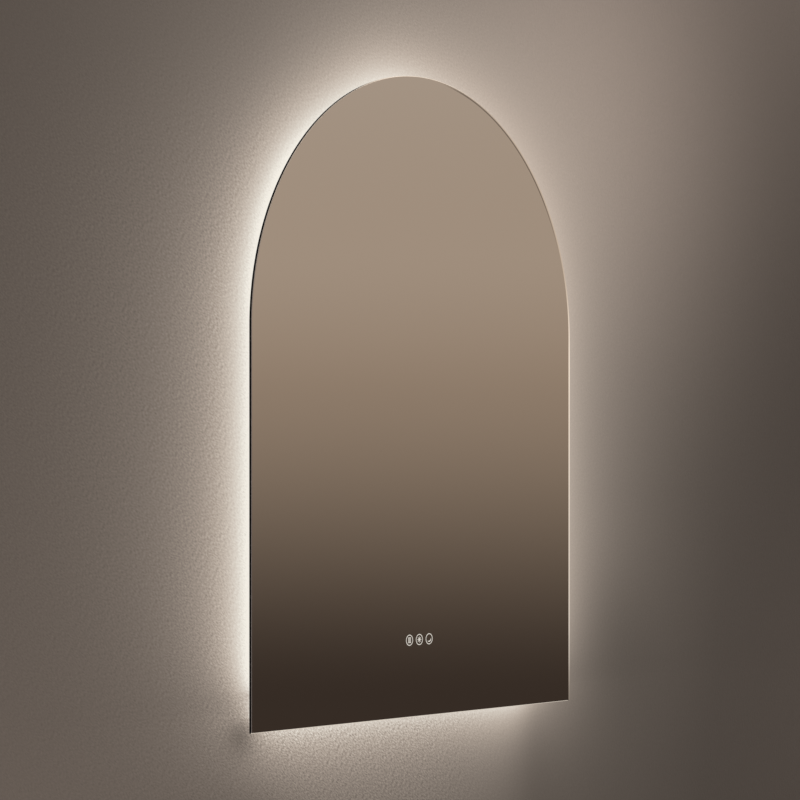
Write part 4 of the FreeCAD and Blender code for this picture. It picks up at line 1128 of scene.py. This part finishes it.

# Patches are strength, x, z and width; falls are reach and strength.
# The wall's colour holds painted room light: the level, slopes, curves and patches are painted light, the dim
# lobe a painted shadow; tone and mottle are the paint's own.
wallPaintAndPaintedLight = {"level": 0.0435, "x": -0.0115, "z": 0.0249, "xx": 0.0138, "zz": 0.0379, "xz": 0.0461,
             "patches": ((0.144, 0.5263, 0.251, 0.4219), (0.0589, 1.4, -0.9074, 0.6289)),
             "least": 0.045, "most": 0.30, "paintedShadow": ((0.012, 0.58, -0.70, 0.15),),
             "tone": (1.212, 0.970, 0.820), "mottle": 0.12}
# The light strips' glow, painted on the wall as emission: painted light. Its gaps are painted shadows, its
# bends and spills painted light.
paintedWallGlow = {"radius": 0.350, "bottom": -0.698, "bottomHalf": 0.360, "softEnd": 0.0003,
            "archFalls": ((0.0517, 0.83), (0.2836, 0.2808)), "archAcross": 0.1066, "archAlong": 0.0994,
            "bendReach": 0.06,
            "bends": ((0.36, -0.30, 0.12, 0.16), (0.6, -0.04, 0.27, 0.13), (-0.25, 0.36, 0.18, 0.15)),
            "footFalls": ((0.0479, 1.18), (0.02, 1.2), (0.5, 0.1346)), "footAcross": 0.0409, "footRise": 0.03,
            "paintedShadows": ((0.5, -0.380, -0.757, 0.032), (0.2, 0.58, -0.65, 0.12), (0.06, 0.15, -0.83, 0.10)),
            "spills": ((0.03, -0.35, -0.80, 0.05), (0.05, -0.375, -0.70, 0.022)),
            "most": 0.81, "ease": 0.1, "warm": (1.17, 0.992, 0.838, 1.0), "pale": (1.075, 1.03, 0.935, 1.0),
            "palesBetween": (0.25, 0.8)}
# Painted shade: the plaster's grain is painted into the glow as grazing light would pick it out. The arch and
# the foot each have its strength, the levels of glow between which it calms down, and by how much it does.
paintedGrainShade = {"arch": (1.6, 0.25, 0.6, 0.75), "foot": (2.4, 0.36, 0.6, 0.9), "everywhere": 0.3,
             "scale": 540.0, "right": (0.0, 0.34), "top": (0.0, 0.3), "topDrop": 0.7,
             "down": (0.53, 0.85), "across": (0.30, -0.19)}


def plane(name, corners, finish):
    form = bmesh.new()
    form.faces.new([form.verts.new(corner) for corner in corners])
    piece = meshPiece(name, form, finish)
    piece.visible_glossy = False
    return piece


def lobes(finish, x, z, patches):
    total = 0.0
    for strength, placeX, placeZ, width in patches:
        away = (x - placeX) * (x - placeX) + (z - placeZ) * (z - placeZ)
        total = finish.fall(away, width * width) * strength + total
    return total


def falls(finish, distance, parts):
    total = 0.0
    for reach, strength in parts:
        total = finish.fall(distance, reach) * strength + total
    return total


def stripEnd(finish, inside, distance):
    # half light at a strip's end, all of it well inside the end
    spread = inside * inside + distance * distance + paintedWallGlow["softEnd"]
    return inside / finish.maths("SQRT", spread) * 0.5 + 0.5


def paintedRoomLight(finish, x, z):
    # painted room light: how light the wall is painted away from the glow, with lighter lobes and a painted
    # shadow
    p = wallPaintAndPaintedLight
    level = x * p["x"] + z * p["z"] + x * x * p["xx"] + z * z * p["zz"] + x * z * p["xz"] + p["level"]
    level = finish.limited(level + lobes(finish, x, z, p["patches"]), p["least"], p["most"])
    return level - lobes(finish, x, z, p["paintedShadow"])


def paintedGrainShading(finish, x, z):
    # Painted grain shading that runs down to the right and fades towards the right and the top, dappling the
    # painted light.
    w = paintedGrainShade
    slant = finish.vector(x * w["down"][0] + z * w["down"][1], 0.0, x * w["across"][0] + z * w["across"][1])
    streaks = finish.noise(w["scale"], 2.0, place=slant) - 0.5
    raking = (1.0 - finish.between(x, *w["right"])) * (1.0 - finish.between(z, *w["top"]) * w["topDrop"])

    def withPaintedGrainShade(light, strength, low, high, drop):
        calm = 1.0 - finish.between(light, low, high) * drop
        return light * (1.0 + streaks * (raking * strength * calm + w["everywhere"]))

    return withPaintedGrainShade


def paintedStripGlow(finish, x, z):
    # The glow that the light strips throw on the wall is painted on as emission: painted light that fades
    # with the distance from them, and that ends softly at the two lower corners, where they leave a gap.
    g = paintedWallGlow
    arch = abs(finish.length(x, finish.largest(z - plate["spring"], 0.0)) - g["radius"])
    foot = finish.largest(g["bottom"] - z, 0.0)
    across = finish.limited(x / g["radius"], -1.0, 1.0)
    along = finish.limited(z * 2.0 + 0.5, -1.0, 1.0)
    bend = finish.fall(arch, g["bendReach"]) * lobes(finish, x, z, g["bends"])
    archGlow = falls(finish, arch, g["archFalls"])
    archGlow = archGlow * (across * g["archAcross"] - along * g["archAlong"] + 1.0 + bend)
    archGlow = archGlow * stripEnd(finish, z - g["bottom"], arch)
    footGlow = falls(finish, foot, g["footFalls"]) * (across * g["footAcross"] + 1.0)
    footGlow = footGlow * stripEnd(finish, g["bottomHalf"] - abs(x), foot)
    withPaintedGrainShade = paintedGrainShading(finish, x, z)
    archGlow, footGlow = withPaintedGrainShade(archGlow, *paintedGrainShade["arch"]), withPaintedGrainShade(footGlow, *paintedGrainShade["foot"])
    glow = archGlow + footGlow * finish.smallest(foot / g["footRise"], 1.0)
    # dark lobes are painted shadows on the glow; the spills add painted light
    glow = glow * (1.0 - lobes(finish, x, z, g["paintedShadows"])) + lobes(finish, x, z, g["spills"])
    return finish.maths("SMOOTH_MIN", glow, g["most"], g["ease"])


def wallFinish():
    # Painted plaster with the mirror's glow painted on it as emission, painted light; its colour also holds
    # painted room light and a painted shadow. From behind it is clear, so that the part shows.
    finish = Finish("plasterWall", specular=0.1, emissionStrength=1.0, roughness=0.9)
    x, z = finish.axes("XZ")
    plaster = finish.noise(230.0, 3.0, 0.65, stretch=(1.0, 1.0, 0.8))
    glow = paintedStripGlow(finish, x, z)
    tint = finish.mix(finish.between(glow, *paintedWallGlow["palesBetween"]), paintedWallGlow["warm"], paintedWallGlow["pale"])
    paintWithPaintedLight = paintedRoomLight(finish, x, z) * (1.0 + (plaster - 0.5) * wallPaintAndPaintedLight["mottle"])
    for socket, colour, level in (("emission", tint, glow), ("baseColor", wallPaintAndPaintedLight["tone"], paintWithPaintedLight)):
        finish.feed(socket, finish.out(finish.node("ShaderNodeVectorMath", {"operation": "SCALE"},
                                                   {0: colour, "Scale": level})))
    finish.bump(plaster, 0.003, 0.35)
    clear = finish.out(finish.node("ShaderNodeBsdfTransparent"))
    behind = finish.out(finish.node("ShaderNodeNewGeometry"), "Backfacing")
    mixed = finish.node("ShaderNodeMixShader", None, {0: behind, 1: finish.out(finish.shader), 2: clear})
    finish.tree.links.new(mixed.outputs[0], finish.tree.nodes["Material Output"].inputs["Surface"])
    return finish


def floorFinish():
    finish = Finish("paleFloor", specular=0.2, roughness=0.7)
    speck = finish.noise(12.0, 3.0)
    finish.feed("baseColor", finish.mix(speck, linear(206, 203, 198), linear(212, 209, 205)))
    return finish


half, wallY, low, high = stage["wallHalf"], stage["wallY"], stage["low"], stage["wallHigh"]
wall = plane("wall", [(-half, wallY, low), (half, wallY, low), (half, wallY, high), (-half, wallY, high)],
             wallFinish())
wall.visible_shadow = False
reach = stage["floorReach"]
plane("floor", [(-reach, -reach, low), (reach, -reach, low), (reach, reach, low), (-reach, reach, low)],
      floorFinish())


# Light and camera

lights = {"softKey": ((-2.6, -3.4, 2.4), 2.6, 95), "softFill": ((3.2, -2.8, 1.2), 2.6, 45),
          "backKey": ((2.4, 3.2, 2.2), 2.4, 120), "backFill": ((-3.0, 2.8, 0.9), 2.4, 70)}
lightTarget = Vector((0.0, 0.0, -0.2))
# What surfaces get, what the camera sees behind the part, and what the mirror shows. Each step of the last
# is the slope of the ray at which a colour begins and is complete.
surround = {"even": (0.5, 0.5, 0.5, 1.0), "pale": (0.72, 0.715, 0.70, 1.0), "below": linear(154, 150, 144),
            "steps": ((-0.200, -0.109, linear(56, 46, 39)), (-0.079, 0.035, linear(151, 132, 114)),
                      (0.012, 0.058, linear(165, 147, 130)), (0.056, 0.222, linear(181, 168, 156))),
            "studio": ((0.0, (0.42, 0.42, 0.42, 1.0)), (0.45, (0.55, 0.55, 0.55, 1.0)),
                       (0.75, (0.85, 0.85, 0.86, 1.0)), (1.0, (1.0, 1.0, 1.0, 1.0)))}
view = {"focal": 149.4, "yaw": 51.30, "distance": 5.154, "aimX": -0.0510, "frontY": -0.040,
        "height": -0.316, "shiftY": 0.0483}


def areaLight(name, place, size, power):
    light = bpy.data.lights.new(name, "AREA")
    light.shape = "SQUARE"
    light.size = size
    light.energy = power
    lamp = inScene(name, light)
    lamp.location = place
    lamp.rotation_euler = (lightTarget - Vector(place)).to_track_quat("-Z", "Y").to_euler()
    lamp.visible_glossy = False
    lamp.visible_camera = False


def surroundLight():
    # Even light for surfaces, a pale backdrop for the camera, and a warm gradient for reflections.
    world = bpy.data.worlds.new("softSurround")
    bpy.context.scene.world = world
    world.use_nodes = True
    board = Board(world.node_tree)
    board.tree.nodes.clear()
    depth, rise = board.apart(board.out(board.node("ShaderNodeTexCoord"), "Generated"), "YZ")
    warm = surround["below"]
    for low, high, colour in surround["steps"]:
        warm = board.mix(board.between(rise, low, high), warm, colour)
    studio = board.out(board.node("ShaderNodeValToRGB", {"stops": surround["studio"]}, {0: rise * 0.5 + 0.5}),
                       "Color")
    rays = board.node("ShaderNodeLightPath")
    isCamera, isGlossy = board.out(rays, "Is Camera Ray"), board.out(rays, "Is Glossy Ray")
    seen = board.mix(isGlossy, surround["even"], board.mix(depth < 0.0, studio, warm))
    seen = board.mix(isCamera, seen, surround["pale"])
    light = board.node("ShaderNodeBackground", None, {0: seen, 1: 1.0})
    end = board.node("ShaderNodeOutputWorld")
    board.tree.links.new(light.outputs[0], end.inputs[0])


def photoCamera():
    yaw = math.radians(view["yaw"])
    forward = Vector((math.sin(yaw), math.cos(yaw), 0.0))
    data = bpy.data.cameras.new("photoCamera")
    data.lens = view["focal"]
    data.sensor_width = 36.0
    data.shift_y = view["shiftY"]
    data.clip_end = 100.0
    camera = inScene("photoCamera", data)
    camera.location = Vector((view["aimX"], view["frontY"], view["height"])) - forward * view["distance"]
    camera.rotation_euler = forward.to_track_quat("-Z", "Y").to_euler()
    bpy.context.scene.camera = camera


for name, (place, size, power) in lights.items():
    areaLight(name, place, size, power)
surroundLight()
photoCamera()
bpy.context.scene.view_settings.view_transform = "Standard"
print("scene ready")
